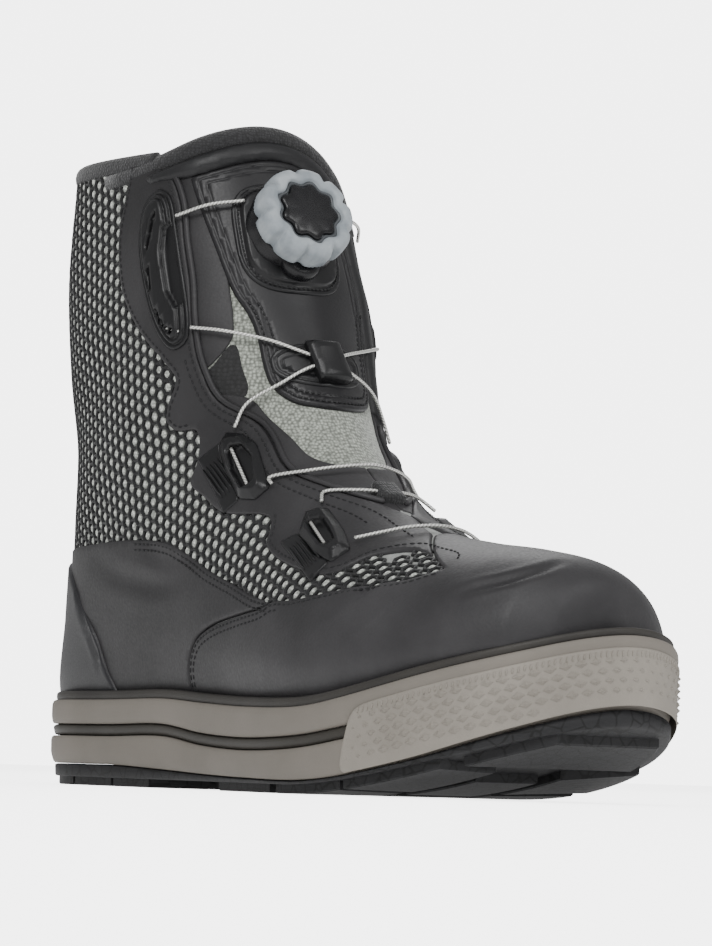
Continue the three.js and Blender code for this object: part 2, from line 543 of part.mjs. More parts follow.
// Cable guides on both eyestays. Each follows the skin of the eyestay. body and pad are outlines from the
// side, slot is the groove in the body through which the cable passes.
const ground = gap + panel + gap;
const GUIDES = {
  guide_upper: {
    body: outlineOf([[0.307, 0.942], [0.324, 0.928], [0.341, 0.859], [0.361, 0.768], [0.375, 0.681], [0.374, 0.651],
      [0.358, 0.642], [0.331, 0.681], [0.301, 0.772], [0.283, 0.859], [0.288, 0.916]]),
    slot: outlineOf([[0.310, 0.894], [0.320, 0.885], [0.354, 0.711], [0.345, 0.702], [0.325, 0.738], [0.301, 0.842]]),
    pad: null,
  },
  guide_mid: {
    body: outlineOf([[0.434, 0.479], [0.455, 0.475], [0.475, 0.457], [0.501, 0.406], [0.518, 0.372], [0.506, 0.351],
      [0.481, 0.354], [0.448, 0.406], [0.429, 0.454]]),
    slot: outlineOf([[0.450, 0.450], [0.463, 0.442], [0.497, 0.376], [0.484, 0.372]]),
    pad: outlineOf([[0.401, 0.432], [0.437, 0.468], [0.494, 0.367], [0.462, 0.329]]),
  },
  guide_low: {
    body: outlineOf([[0.580, 0.326], [0.600, 0.330], [0.642, 0.289], [0.675, 0.252], [0.666, 0.230], [0.634, 0.244],
      [0.592, 0.283]]),
    slot: outlineOf([[0.600, 0.302], [0.612, 0.302], [0.651, 0.259], [0.639, 0.254]]),
    pad: outlineOf([[0.570, 0.271], [0.600, 0.293], [0.668, 0.245], [0.654, 0.197]]),
  },
};
for (const [name, side] of SIDES) {
  for (const [guide, { body, slot, pad }] of Object.entries(GUIDES)) {
    const block = skin(ground, ground + guideHeight).intersect(sidePrism(body, side))
      .subtract(sidePrism(slot, side).subtract(form(ground + padHeight)));
    const foot = pad ? skin(ground, ground + padHeight).intersect(sidePrism(pad, side)) : null;
    add(`${guide}_${name}`, foot ? block.add(foot) : block, DARK_PLASTIC);
  }
}

// Keeper and webbing loop, through which the cable crosses the tongue
const crossAt = -0.03;       // share of the leg's width, where the two runs of the cable cross
const keeperFrame = frontFrame(crossAt * legWidth, heightOf(0.612));
const keeperSeat = panelSkin + gap;
const keeperBar = 0.15 * keeperWidth;
const keeperRoof = 1.3;
const keeperCorner = 1.5;
const wide = 2 * keeperWidth;
add('keeper', skin(keeperSeat, keeperSeat + keeperHeight, tongueFirst)
  .intersect(frontBlock(keeperFrame, rectangle(keeperWidth, keeperWidth, keeperCorner), -wide, wide))
  .subtract(form(keeperSeat + keeperHeight - keeperRoof)
    .intersect(frontBlock(keeperFrame, rectangle(wide, keeperWidth - 2 * keeperBar, 0.5), -wide, wide))), DARK_PLASTIC);

const loopFrame = frontFrame(-0.02 * ballWidth, heightOf(0.365));
const loopWidth = 10;
const loopHeight = 7.5;
const loopSeat = 0;
add('tongue_loop', skin(loopSeat, loopSeat + 2 * loopStrap + cable + 4 * gap, tongueFirst)
  .intersect(frontBlock(loopFrame, rectangle(loopWidth, loopHeight, 0.5), -wide, wide))
  .subtract(form(loopSeat + loopStrap + cable + 4 * gap)
    .intersect(frontBlock(loopFrame, rectangle(wide, loopHeight - 2 * loopStrap, 0.2), -wide, wide))), WEBBING);

// Cable: taut stretches between the guides, lying just over the tongue and the eyestays
const laceOut = keeperSeat + 3 * gap + cable / 2;
function laceRun(points) {
  const path = new THREE.CatmullRomCurve3(points);
  const round = new THREE.Shape().absarc(0, 0, cable / 2, 0, 2 * Math.PI);
  return solid(new THREE.ExtrudeGeometry(round,
    { steps: Math.ceil(1.5 * (points.length - 1)), curveSegments: 4, bevelEnabled: false, extrudePath: path }));
}

const laceSide = (along, up, side, out = laceOut) => onSide(along * length, heightOf(up), side, out);
const laceFront = (place, up, out = laceOut) => onFront(place * legWidth, heightOf(up), out);
const overFlange = panelSkin + 3 * gap + flangeWall + cable / 2;
for (const [name, side] of SIDES) {
  const dialSide = (swing + side * 0.88 * (podLow + 3 * gap)) / legWidth;
  add(`lace_dial_${name}`, laceRun([laceFront(dialSide, 0.911, overFlange), laceFront(side * 0.32, 0.904, overFlange),
    laceSide(0.372, 0.893, side), laceSide(0.3395, 0.884, side)]), STEEL);
}
const crossRun = (side) => laceRun([laceSide(0.380, 0.674, side), laceFront(side * 0.36, 0.667), laceFront(side * 0.22, 0.650),
  laceFront(crossAt + side * 0.085, 0.629), laceFront(crossAt, 0.612, laceOut + 0.5), laceFront(crossAt - side * 0.085, 0.595),
  laceFront(side * -0.20, 0.568), laceFront(side * -0.31, 0.528), laceSide(0.446, 0.4835, -side)]);
add('lace_cross', crossRun(-1).add(crossRun(1)), STEEL);
// A bar of cable between two like points, given from the lateral end to the middle and mirrored
const barMiddle = divide / legWidth;
const LACE_BARS = {
  lace_bar_mid: { end: [0.5225, 0.374], run: [[0.31, 0.386], [0.21, 0.397], [0.11, 0.404], [0, 0.408]], out: laceOut + 1 },
  lace_bar_loop: { end: [0.5915, 0.336], run: [[0.22, 0.358], [0.12, 0.364], [0, 0.365]],
    out: loopSeat + (loopStrap + cable + 4 * gap) / 2 },
  lace_bar_low: { end: [0.6715, 0.265], run: [[0.21, 0.277], [0.11, 0.288], [0, 0.292]], out: laceOut },
};
for (const [name, { end, run, out }] of Object.entries(LACE_BARS)) {
  const half = (side) => [laceSide(...end, side, laceOut + 0.6), ...run.map(([place, up], i) => laceFront(barMiddle + side * place, up,
    THREE.MathUtils.lerp(laceOut, out, (i + 1) / run.length)))];
  add(name, laceRun([...half(-1), ...half(1).reverse().slice(1)]), STEEL);
}

// Pull loop: webbing folded over the back of the collar
const pullReach = 0.06 * collarHeight;
const pullOut = gap + panel + gap;
const pullIn = -(wall + gap);
const pullBox = backPrism([[-pullWidth / 2, collarHeight - pullReach], [pullWidth / 2, collarHeight - pullReach],
  [pullWidth / 2, collarHeight + 2], [-pullWidth / 2, collarHeight + 2]]);
const pullLegs = skin(pullOut, pullOut + loopStrap).add(skin(pullIn - loopStrap, pullIn)).intersect(pullBox);
const collarBack = seat('y', 'z', [0, collarHeight], (p, q) => p.x < q.x, 0).x;
const archFrom = collarBack - pullOut - loopStrap;
const archTo = collarBack - pullIn + loopStrap;
const archRadius = (archTo - archFrom) / 2;
const archFoot = collarHeight + pullHeight - archRadius;
const archSteps = 6;
const arch = (radius, reverse) => Array.from({ length: archSteps + 1 }, (_, i) => {
  const angle = Math.PI * (reverse ? archSteps - i : i) / archSteps;
  return [archFrom + archRadius - Math.cos(angle) * radius, archFoot + Math.sin(angle) * radius];
});
const archOutline = [[archFrom, collarHeight + gap], ...arch(archRadius, false), [archTo, collarHeight + gap],
  [archTo - loopStrap, collarHeight + gap], ...arch(archRadius - loopStrap, true),
  [archFrom + loopStrap, collarHeight + gap]];
add('pull_loop', pullLegs.add(prism(archOutline, new THREE.Vector3(0, pullWidth / 2, 0), X, Z, pullWidth)), WEBBING);

// Insole, resting on the turned-in edge of the upper
add('insole', form(-wall - gap).intersect(slab({ inset: -2 * bumperWall, low: () => -reach,
  high: (x) => rimAt(x) + insoleHeight })), FOAM);

// Sole: welt, cupped midsole, dark stripe, lower frame, toe bumper and tread
const cupGap = gap + panel + gap;
const footprint = form(cupGap).add(form(gap + counterWall + gap).intersect(counterCut));
add('welt', slab({ inset: weltSet, low: (x) => rimAt(x) + gap, high: (x) => rimAt(x) + gap + weltHeight })
  .subtract(footprint), STRIPE);
const bumperDrop = 4.3;
const bumperSide = table('along up', [0.765, -1.000], [0.771, 0.680], [0.788, 0.880], [0.820, 1.900], [1.200, 1.900],
  [1.200, -1.000]).map((row) => [row.along * length, row.up * soleHeight]);
const bumperTop = (x) => rimAt(x) - bumperDrop;
const bumper = slab({ insetLow: 1, low: frameAt, high: bumperTop })
  .subtract(slab({ inset: bumperWall, low: () => -reach, high: () => reach })).intersect(sidePrism(bumperSide, 0));
const bumperCut = slab({ inset: -bumperWall, low: () => -reach, high: (x) => bumperTop(x) + 3 * gap })
  .subtract(slab({ inset: bumperWall + gap, low: () => -reach, high: () => reach }))
  .intersect(sidePrism(grow(bumperSide, gap), 0));
add('midsole', slab({ inset: 0.6, insetLow: 0, low: (x) => stripeAt(x) + gap, high: rimAt })
  .subtract(footprint).subtract(bumperCut), SOLE_GREY);
add('sole_stripe', slab({ inset: stripeSet, low: (x) => stripeAt(x) - stripeHeight, high: stripeAt })
  .subtract(bumperCut), STRIPE);
add('outsole_frame', slab({ insetLow: frameSet, low: frameAt, high: (x) => stripeAt(x) - stripeHeight - gap })
  .subtract(bumperCut), SOLE_GREY);
add('toe_bumper', bumper, SOLE_GREY);

// Tread: lugs as shares of the half width, from the middle line (0) to the edge (1 medial, -1 lateral)
const LUGS = table('from to near far skew',
  [0.008, 0.050, -0.80, 0.80, 0], [0.060, 0.130, -0.93, -0.25, 0], [0.060, 0.130, 0.25, 0.93, 0],
  [0.145, 0.235, -0.93, -0.30, -0.01], [0.145, 0.235, 0.30, 0.93, -0.01], [0.250, 0.335, -0.93, -0.32, -0.02],
  [0.250, 0.320, 0.32, 0.93, -0.02], [0.145, 0.225, -0.22, 0.22, 0], [0.240, 0.330, -0.22, 0.22, 0],
  [0.470, 0.600, -0.93, -0.35, 0.02], [0.615, 0.735, -0.93, -0.35, 0.02], [0.750, 0.870, -0.93, -0.35, 0.01],
  [0.470, 0.600, 0.35, 0.93, 0.02], [0.615, 0.735, 0.35, 0.93, 0.02], [0.750, 0.850, 0.35, 0.93, 0.03],
  [0.500, 0.590, -0.26, 0.26, 0], [0.605, 0.705, -0.26, 0.26, 0], [0.720, 0.830, -0.26, 0.26, 0],
  [0.890, 0.965, -0.80, 0.80, 0]);
const treadSet = 2;
function lug({ from, to, near, far, skew }) {
  const lugSteps = to * length > springFrom ? 2 : 1;
  const points = [];
  for (let i = 0; i <= lugSteps; i += 1) {
    for (const share of [near, far]) {
      const x = (from + (to - from) * i / lugSteps + (Math.abs(share) > 0.5 ? skew : 0)) * length;
      const middle = (outlineAt(x, -1) + outlineAt(x, 1)) / 2;
      const y = middle + share * ((outlineAt(x, 1) - outlineAt(x, -1)) / 2 - treadSet);
      points.push(new THREE.Vector3(x, y, floorAt(x)), new THREE.Vector3(x, y, floorAt(x) + treadDepth + gap));
    }
  }
  const last = 4 * lugSteps;
  const triangles = [[0, 1, 3], [0, 3, 2], [last, last + 3, last + 1], [last, last + 2, last + 3]];
  for (let k = 0; k < last; k += 4) {
    triangles.push([k, k + 4, k + 5], [k, k + 5, k + 1], [k + 2, k + 7, k + 6], [k + 2, k + 3, k + 7],
      [k, k + 2, k + 6], [k, k + 6, k + 4], [k + 1, k + 5, k + 7], [k + 1, k + 7, k + 3]);
  }
  return fromIndexed(points, triangles);
}
const treadPlate = slab({ inset: frameSet, insetLow: treadSet, low: (x) => floorAt(x) + treadDepth,
  high: (x) => frameAt(x) - gap });
add('tread', LUGS.reduce((body, row) => body.add(lug(row)), treadPlate), BLACK_RUBBER);

export default boot;
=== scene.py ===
"""A right wading boot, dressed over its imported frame.

Metres, +Z up, toe towards +X, outer (lateral) side towards -Y. The tables of sizes are in millimetres,
measured from the heel's back, and repeat those of the part's source.
"""
import math

import bmesh
import bpy
import numpy as np
from mathutils import Matrix, Vector
from mathutils.bvhtree import BVHTree
from mathutils.interpolate import poly_3d_calc


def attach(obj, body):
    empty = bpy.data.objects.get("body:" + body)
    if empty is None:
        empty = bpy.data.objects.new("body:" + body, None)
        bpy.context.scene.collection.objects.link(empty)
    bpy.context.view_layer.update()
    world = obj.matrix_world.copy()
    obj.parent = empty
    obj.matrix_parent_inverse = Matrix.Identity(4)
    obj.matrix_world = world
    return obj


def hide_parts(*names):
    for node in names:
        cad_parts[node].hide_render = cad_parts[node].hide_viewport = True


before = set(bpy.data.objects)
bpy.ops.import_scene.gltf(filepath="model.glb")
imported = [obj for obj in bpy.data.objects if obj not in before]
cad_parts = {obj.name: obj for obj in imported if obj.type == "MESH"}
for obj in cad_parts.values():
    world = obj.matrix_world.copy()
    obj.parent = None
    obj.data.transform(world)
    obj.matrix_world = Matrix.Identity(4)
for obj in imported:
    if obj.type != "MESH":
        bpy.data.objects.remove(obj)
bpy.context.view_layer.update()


# Camera
# The photograph was taken from close to the floor, from the front of the outer side, with a long lens
# held a little out of level.
eye = Vector((1.0517, -0.7617, 0.008))
ahead = Vector((-0.8031, 0.5898, 0.0848)).normalized()
level_right = ahead.cross(Vector((0, 0, 1))).normalized()
level_up = level_right.cross(ahead)
roll = math.radians(1.8)
camera_right = level_right * math.cos(roll) + level_up * math.sin(roll)
camera_up = level_up * math.cos(roll) - level_right * math.sin(roll)
camera_data = bpy.data.cameras.new("camera")
camera_data.sensor_fit = "HORIZONTAL"
camera_data.sensor_width = 36
camera_data.lens = 178
camera_data.clip_end = 50
camera = bpy.data.objects.new("camera", camera_data)
camera_turn = Matrix((camera_right, camera_up, -ahead)).transposed()
camera.matrix_world = Matrix.Translation(eye) @ camera_turn.to_4x4()
bpy.context.scene.collection.objects.link(camera)
bpy.context.scene.camera = camera


# Studio
# A pale floor under an even white sky, a broad soft light over the camera, one from the toe's side for
# the sheen along the edges and one from behind for the collar.
def add_node(tree, kind, values=None, **settings):
    node = tree.nodes.new(kind)
    for name, value in settings.items():
        setattr(node, name, value)
    for name, value in (values or {}).items():
        if isinstance(value, bpy.types.NodeSocket):
            tree.links.new(value, node.inputs[name])
        else:
            node.inputs[name].default_value = value
    return node


def soft_light(name, place, aim, size, power):
    data = bpy.data.lights.new(name, "AREA")
    data.shape = "DISK"
    data.size = size
    data.energy = power
    light = bpy.data.objects.new(name, data)
    direction = Vector(aim) - Vector(place)
    light.matrix_world = Matrix.Translation(place) @ direction.to_track_quat("-Z", "Y").to_matrix().to_4x4()
    bpy.context.scene.collection.objects.link(light)


world = bpy.data.worlds.new("studio")
world.use_nodes = True
world.node_tree.nodes["Background"].inputs["Color"].default_value = (1, 1, 1, 1)
sky = world.node_tree
seen = add_node(sky, "ShaderNodeLightPath")
brightness = add_node(sky, "ShaderNodeMix", {
    0: seen.outputs["Is Camera Ray"], 2: 0.62, 3: 5.0}, data_type="FLOAT")
sky.links.new(brightness.outputs[0], sky.nodes["Background"].inputs["Strength"])
bpy.context.scene.world = world
soft_light("key_light", (1.2, -1.1, 1.5), (0, 0, 0.1), 1.0, 27)
soft_light("toe_light", (1.7, 0.4, 1.3), (0.05, 0, 0.08), 0.8, 11)
soft_light("back_light", (-1.2, 0.9, 1.4), (-0.08, 0, 0.15), 0.9, 8)

floor_mesh = bpy.data.meshes.new("floor")
floor_mesh.from_pydata([(-9, -9, 0), (9, -9, 0), (9, 9, 0), (-9, 9, 0)], [], [(0, 1, 2, 3)])
floor = bpy.data.objects.new("floor", floor_mesh)
bpy.context.scene.collection.objects.link(floor)
floor_material = bpy.data.materials.new("pale floor")
floor_material.use_nodes = True
floor_shader = floor_material.node_tree.nodes["Principled BSDF"]
floor_shader.inputs["Base Color"].default_value = (0.95, 0.95, 0.95, 1)
floor_shader.inputs["Roughness"].default_value = 0.9
floor_shader.inputs["Emission Color"].default_value = (1, 1, 1, 1)
floor_seen = add_node(floor_material.node_tree, "ShaderNodeLightPath")
floor_glow = add_node(floor_material.node_tree, "ShaderNodeMix", {
    0: floor_seen.outputs["Is Camera Ray"], 2: 0.55, 3: 3.6}, data_type="FLOAT")
floor_material.node_tree.links.new(floor_glow.outputs[0], floor_shader.inputs["Emission Strength"])
floor_shader.inputs["Specular IOR Level"].default_value = 0.1
floor_mesh.materials.append(floor_material)


# Midsole
# The upper layer of the sole, moulded from soft taupe-grey foam rubber. Its wall bulges a little and rolls
# over at the top edge, where the upper sits in it.
MM = 0.001
LENGTH = 316.0
GIRTH = {"ball": 116.0, "heel": 76.0, "leg": 94.0}
SOLE_HEIGHT = 33.0
TOE_SPRING = 24.0
OUTLINE = (  # along the length, girth, lateral, medial
    (0.000, "heel", 0.040, 0.040), (0.025, "heel", -0.319, 0.345), (0.095, "heel", -0.517, 0.491),
    (0.220, "heel", -0.571, 0.504), (0.380, "heel", -0.611, 0.478), (0.515, "ball", -0.452, 0.370),
    (0.680, "ball", -0.519, 0.470), (0.800, "ball", -0.487, 0.478), (0.905, "ball", -0.357, 0.430),
    (0.975, "ball", -0.135, 0.313), (1.000, "ball", 0.104, 0.104))
SIDE = (  # along the length, rim, stripe, frame as shares of the sole's height, share of the toe spring
    (0.00, 1.000, 0.710, 0.250, 0.00), (0.23, 1.000, 0.705, 0.250, 0.00), (0.36, 1.010, 0.715, 0.210, 0.00),
    (0.46, 0.960, 0.620, 0.175, 0.00), (0.58, 0.915, 0.575, 0.150, 0.00), (0.70, 0.905, 0.600, 0.135, 0.02),
    (0.77, 0.960, 0.650, 0.160, 0.08), (0.87, 1.050, 0.700, 0.220, 0.30), (0.95, 1.040, 0.720, 0.270, 0.66),
    (1.00, 1.010, 0.720, 0.280, 1.00))
STRIPE_HEIGHT = 4.0


def curve(points, shares, closed=False):
    """Points on the centripetal curve through the given points, at shares of its steps."""
    points = np.asarray(points, float)
    count = len(points)
    place = np.atleast_1d(np.asarray(shares, float)) * (count if closed else count - 1)
    i = np.floor(place).astype(int)
    w = (place - i)[:, None]
    if closed:
        i %= count
    else:
        w[i >= count - 1] = 1
        i = np.minimum(i, count - 2)
    p1, p2 = points[i], points[(i + 1) % count]
    p0, p3 = points[(i - 1) % count], points[(i + 2) % count]
    if not closed:
        p0 = np.where((i == 0)[:, None], 2 * points[0] - points[1], p0)
        p3 = np.where((i + 2 > count - 1)[:, None], 2 * points[-1] - points[-2], p3)
    gap = lambda a, b: np.sqrt(np.linalg.norm(a - b, axis=1))[:, None]
    d0, d1, d2 = gap(p0, p1), gap(p1, p2), gap(p2, p3)
    d1 = np.where(d1 < 1e-4, 1.0, d1)
    d0 = np.where(d0 < 1e-4, d1, d0)
    d2 = np.where(d2 < 1e-4, d1, d2)
    start = ((p1 - p0) / d0 - (p2 - p0) / (d0 + d1) + (p2 - p1) / d1) * d1
    end = ((p2 - p1) / d1 - (p3 - p1) / (d1 + d2) + (p3 - p2) / d2) * d1
    return (p1 + start * w + (3 * (p2 - p1) - 2 * start - end) * w ** 2
            + (2 * (p1 - p2) + start + end) * w ** 3)


half_width = lambda row, column: (row[0] * LENGTH, row[column] * GIRTH[row[1]])
plan_points = [half_width(row, 2) for row in OUTLINE] + [half_width(row, 3) for row in OUTLINE[-2:0:-1]]
PLAN = curve(plan_points, np.arange(600) / 600, closed=True)
plan_along = np.roll(PLAN, -1, 0) - np.roll(PLAN, 1, 0)
PLAN_OUT = np.column_stack([plan_along[:, 1], -plan_along[:, 0]])
PLAN_OUT /= np.linalg.norm(PLAN_OUT, axis=1)[:, None]
if PLAN_OUT[0, 0] > 0:
    PLAN_OUT = -PLAN_OUT
CENTRE = (PLAN[:, 1].min() + PLAN[:, 1].max()) / 2
TO_FRAME = np.array([-LENGTH / 2, -CENTRE, 0])


def side_line(column):
    """A line of the sole's side, as a function from the distance from the heel to the height."""
    line = curve([(row[0] * LENGTH, row[column] * SOLE_HEIGHT, row[4] * TOE_SPRING) for row in SIDE],
                 np.linspace(0, 1, 181))
    return lambda x: np.interp(x, line[:, 0], line[:, 1] + line[:, 2])


rim_at, stripe_at, frame_at = side_line(1), side_line(2), side_line(3)


def make(name, points, faces, uv=None):
    """A mesh object from points in millimetres from the heel. Doubled points are merged."""
    mesh = bpy.data.meshes.new(name)
    mesh.from_pydata(((np.asarray(points) + TO_FRAME) * MM).tolist(), [], [list(map(int, f)) for f in faces])
    if uv is not None:
        layer = mesh.uv_layers.new(name="surface")
        corners = np.empty(len(mesh.loops), int)
        mesh.loops.foreach_get("vertex_index", corners)
        layer.data.foreach_set("uv", (np.asarray(uv)[corners] * MM).ravel())
    work = bmesh.new()
    work.from_mesh(mesh)
    bmesh.ops.remove_doubles(work, verts=work.verts, dist=4e-6)
    bmesh.ops.dissolve_degenerate(work, edges=work.edges, dist=2e-6)
    work.to_mesh(mesh)
    work.free()
    thing = bpy.data.objects.new(name, mesh)
    bpy.context.scene.collection.objects.link(thing)
    return thing


def dress(thing, material, slot, *nodes, smooth=True):
    """Gives a piece its finish and shading, hangs it on the root and hides the imported parts that it stands
    for.
    """
    thing.data.materials.clear()
    thing.data.materials.append(material)
    thing.data.polygons.foreach_set("use_smooth", [smooth] * len(thing.data.polygons))
    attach(thing, "root")
    if nodes:
        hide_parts(*nodes)
    return thing


def ring_body(name, levels, closed=True):
    """A layer of the sole from levels of (step in from the outline, height at x), from low to high."""
    count = len(PLAN)
    points = []
    for inset, height in levels:
        step_in = inset(PLAN[:, 0])[:, None] if callable(inset) else inset
        flat = PLAN - PLAN_OUT * step_in
        points.append(np.column_stack([flat, height(flat[:, 0])]))
    faces = []
    around = np.arange(count)
    after = (around + 1) % count
    for k in range(len(levels) - 1):
        low, high = k * count, (k + 1) * count
        faces += np.column_stack([low + around, low + after, high + after, high + around]).tolist()
    if closed:
        top = (len(levels) - 1) * count
        for i in range(1, count // 2 - 1):
            faces.append([top + i, top + i + 1, top + count - i - 1, top + count - i])
            faces.append([i, count - i, count - i - 1, i + 1])
        faces += [[top, top + 1, top + count - 1],
                  [top + count // 2, top + count // 2 + 1, top + count // 2 - 1],
                  [0, count - 1, 1], [count // 2, count // 2 - 1, count // 2 + 1]]
    return make(name, np.vstack(points), faces)


def shader_group(name, inputs, outputs):
    """A shader node group with named sockets, and its input and output nodes."""
    group = bpy.data.node_groups.new(name, "ShaderNodeTree")
    for kind, title, value in inputs:
        socket = group.interface.new_socket(title, in_out="INPUT", socket_type=kind)
        if value is not None:
            socket.default_value = value
    for kind, title in outputs:
        group.interface.new_socket(title, in_out="OUTPUT", socket_type=kind)
    return group, add_node(group, "NodeGroupInput"), add_node(group, "NodeGroupOutput")


# Fine moulding grain and the cloudy, slightly worn tone of rubber, foam and coated leather
grain, grain_in, grain_out = shader_group(
    "moulding grain", [("NodeSocketFloat", "Grain Size", 0.0005), ("NodeSocketFloat", "Cloud Size", 0.03)],
    [("NodeSocketFloat", "Height"), ("NodeSocketFloat", "Cloud"), ("NodeSocketFloat", "Speckle")])
grain_place = add_node(grain, "ShaderNodeTexCoord")
grain_scale = add_node(grain, "ShaderNodeMath", {0: 1.0, 1: grain_in.outputs["Grain Size"]},
                       operation="DIVIDE")
cloud_scale = add_node(grain, "ShaderNodeMath", {0: 1.0, 1: grain_in.outputs["Cloud Size"]},
                       operation="DIVIDE")
pebbles = add_node(grain, "ShaderNodeTexVoronoi", {
    "Vector": grain_place.outputs["Object"], "Scale": grain_scale.outputs[0]}, feature="SMOOTH_F1")
fine = add_node(grain, "ShaderNodeTexNoise", {
    "Vector": grain_place.outputs["Object"], "Scale": grain_scale.outputs[0], "Detail": 3.0})
cloud = add_node(grain, "ShaderNodeTexNoise", {
    "Vector": grain_place.outputs["Object"], "Scale": cloud_scale.outputs[0], "Detail": 4.0})
grain_height = add_node(grain, "ShaderNodeMath", {
    0: pebbles.outputs["Distance"], 1: fine.outputs["Fac"]}, operation="ADD")
grain.links.new(grain_height.outputs[0], grain_out.inputs["Height"])
grain.links.new(cloud.outputs["Fac"], grain_out.inputs["Cloud"])
grain.links.new(fine.outputs["Fac"], grain_out.inputs["Speckle"])


def moulded_finish(name, dark, light, roughness, grain_size, depth, cloud_size=0.03, sheen=0.0, mix=None,
                   coat=0.0, specular=0.3):
    """A finish whose colour drifts between two tones and whose surface has a fine grain. mix is a function
    that may change the tone with more nodes."""
    material = bpy.data.materials.new(name)
    material.use_nodes = True
    tree = material.node_tree
    shader = tree.nodes["Principled BSDF"]
    texture = add_node(tree, "ShaderNodeGroup", node_tree=grain)
    texture.inputs["Grain Size"].default_value = grain_size
    texture.inputs["Cloud Size"].default_value = cloud_size
    tone = add_node(tree, "ShaderNodeMapRange", {
        "Value": texture.outputs["Cloud"], "From Min": 0.3, "From Max": 0.7})
    colour = add_node(tree, "ShaderNodeMix", {
        0: tone.outputs[0], 6: (*dark, 1), 7: (*light, 1)}, data_type="RGBA")
    rough = add_node(tree, "ShaderNodeMapRange", {
        "Value": texture.outputs["Speckle"], "From Min": 0.2, "From Max": 0.8,
        "To Min": roughness - 0.07, "To Max": roughness + 0.07})
    bump = add_node(tree, "ShaderNodeBump", {
        "Height": texture.outputs["Height"], "Strength": 0.6, "Distance": depth})
    result = colour.outputs[2]
    if mix:
        result = mix(tree, result, texture)
    tree.links.new(result, shader.inputs["Base Color"])
    tree.links.new(rough.outputs[0], shader.inputs["Roughness"])
    tree.links.new(bump.outputs[0], shader.inputs["Normal"])
    shader.inputs["Sheen Weight"].default_value = sheen
    shader.inputs["Sheen Roughness"].default_value = 0.5
    shader.inputs["Coat Weight"].default_value = coat
    shader.inputs["Specular IOR Level"].default_value = specular
    return material


sole_grey = moulded_finish("taupe-grey foam rubber", (0.146, 0.133, 0.114), (0.172, 0.156, 0.135), 0.62,
                           0.0006, 0.00006)
BUMPER_FROM = 244.0
behind_bumper = lambda x: 2.2 / (1 + np.exp(-(x - BUMPER_FROM - 4) / 1.2))
wall_step = lambda step: (lambda x: step + behind_bumper(x))
over_stripe = lambda up: (lambda x: stripe_at(x) + up)
under_rim = lambda down: (lambda x: rim_at(x) - down)
midsole = ring_body("midsole_foam", [
    (wall_step(1.2), over_stripe(0.25)), (wall_step(0.45), over_stripe(0.5)),
    (wall_step(0.1), over_stripe(1.2)),
    (wall_step(-0.25), over_stripe(3.0)), (-0.3, under_rim(3.0)), (-0.15, under_rim(1.5)),
    (0.3, under_rim(0.5)),
    (1.0, under_rim(0.1)), (2.0, under_rim(0.2)), (9.0, under_rim(1.0))])
dress(midsole, sole_grey, "sole_foam", "midsole")


# Dark stripe
# A narrow strip of dark olive rubber in a groove of the sole's wall, rounded along its top edge.
stripe_dark = moulded_finish("dark olive rubber", (0.020, 0.018, 0.014), (0.028, 0.025, 0.020), 0.5, 0.0004,
                             0.00003)
stripe_low = lambda up: (lambda x: stripe_at(x) - STRIPE_HEIGHT + up)
stripe = ring_body("sole_line", [
    (wall_step(2.4), stripe_low(-0.2)), (wall_step(1.3), stripe_low(0.2)), (wall_step(0.9), stripe_low(1.4)),
    (wall_step(0.6), over_stripe(-1.2)), (wall_step(0.9), over_stripe(-0.5)),
    (wall_step(1.6), over_stripe(-0.1)),
    (wall_step(2.6), over_stripe(0.2))])
dress(stripe, stripe_dark, "stripe", "sole_stripe")


# Sole frame
# The lower grey layer. Its wall stands straight, is rounded at both edges and steps in to the tread.
frame_top = lambda down: (lambda x: stripe_at(x) - STRIPE_HEIGHT - down)
frame_low = lambda up: (lambda x: frame_at(x) + up)
sole_frame = ring_body("sole_frame", [
    (wall_step(3.2), frame_low(0.0)), (wall_step(1.8), frame_low(0.1)), (wall_step(1.0), frame_low(0.8)),
    (wall_step(0.4), frame_low(2.4)), (wall_step(-0.1), frame_low(4.4)), (wall_step(-0.2), frame_top(2.0)),
    (wall_step(0.1), frame_top(0.9)), (wall_step(0.8), frame_top(0.35)), (wall_step(2.4), frame_top(0.3))])
dress(sole_frame, sole_grey, "sole_foam", "outsole_frame")


# Tread
# Black rubber. A plate under the whole sole carries stepped lugs at the heel and big siped lugs at the
# forefoot, with a smooth waist between them.
TREAD_DEPTH = 3.2
LUGS = (  # from, to, near, far (shares of the half width), skew
    (0.008, 0.050, -0.80, 0.80, 0), (0.060, 0.130, -0.93, -0.25, 0), (0.060, 0.130, 0.25, 0.93, 0),
    (0.145, 0.235, -0.93, -0.30, -0.01), (0.145, 0.235, 0.30, 0.93, -0.01),
    (0.250, 0.335, -0.93, -0.32, -0.02),
    (0.250, 0.320, 0.32, 0.93, -0.02), (0.145, 0.225, -0.22, 0.22, 0), (0.240, 0.330, -0.22, 0.22, 0),
    (0.470, 0.600, -0.93, -0.35, 0.02), (0.615, 0.735, -0.93, -0.35, 0.02), (0.750, 0.870, -0.93, -0.35, 0.01),
    (0.470, 0.600, 0.35, 0.93, 0.02), (0.615, 0.735, 0.35, 0.93, 0.02), (0.750, 0.850, 0.35, 0.93, 0.03),
    (0.500, 0.590, -0.26, 0.26, 0), (0.605, 0.705, -0.26, 0.26, 0), (0.720, 0.830, -0.26, 0.26, 0),
    (0.890, 0.965, -0.80, 0.80, 0))
SPRING_FROM = 0.655 * LENGTH
floor_at = lambda x: TOE_SPRING * np.maximum(0, (x - SPRING_FROM) / (LENGTH - SPRING_FROM)) ** 2
tip = len(PLAN) // 2
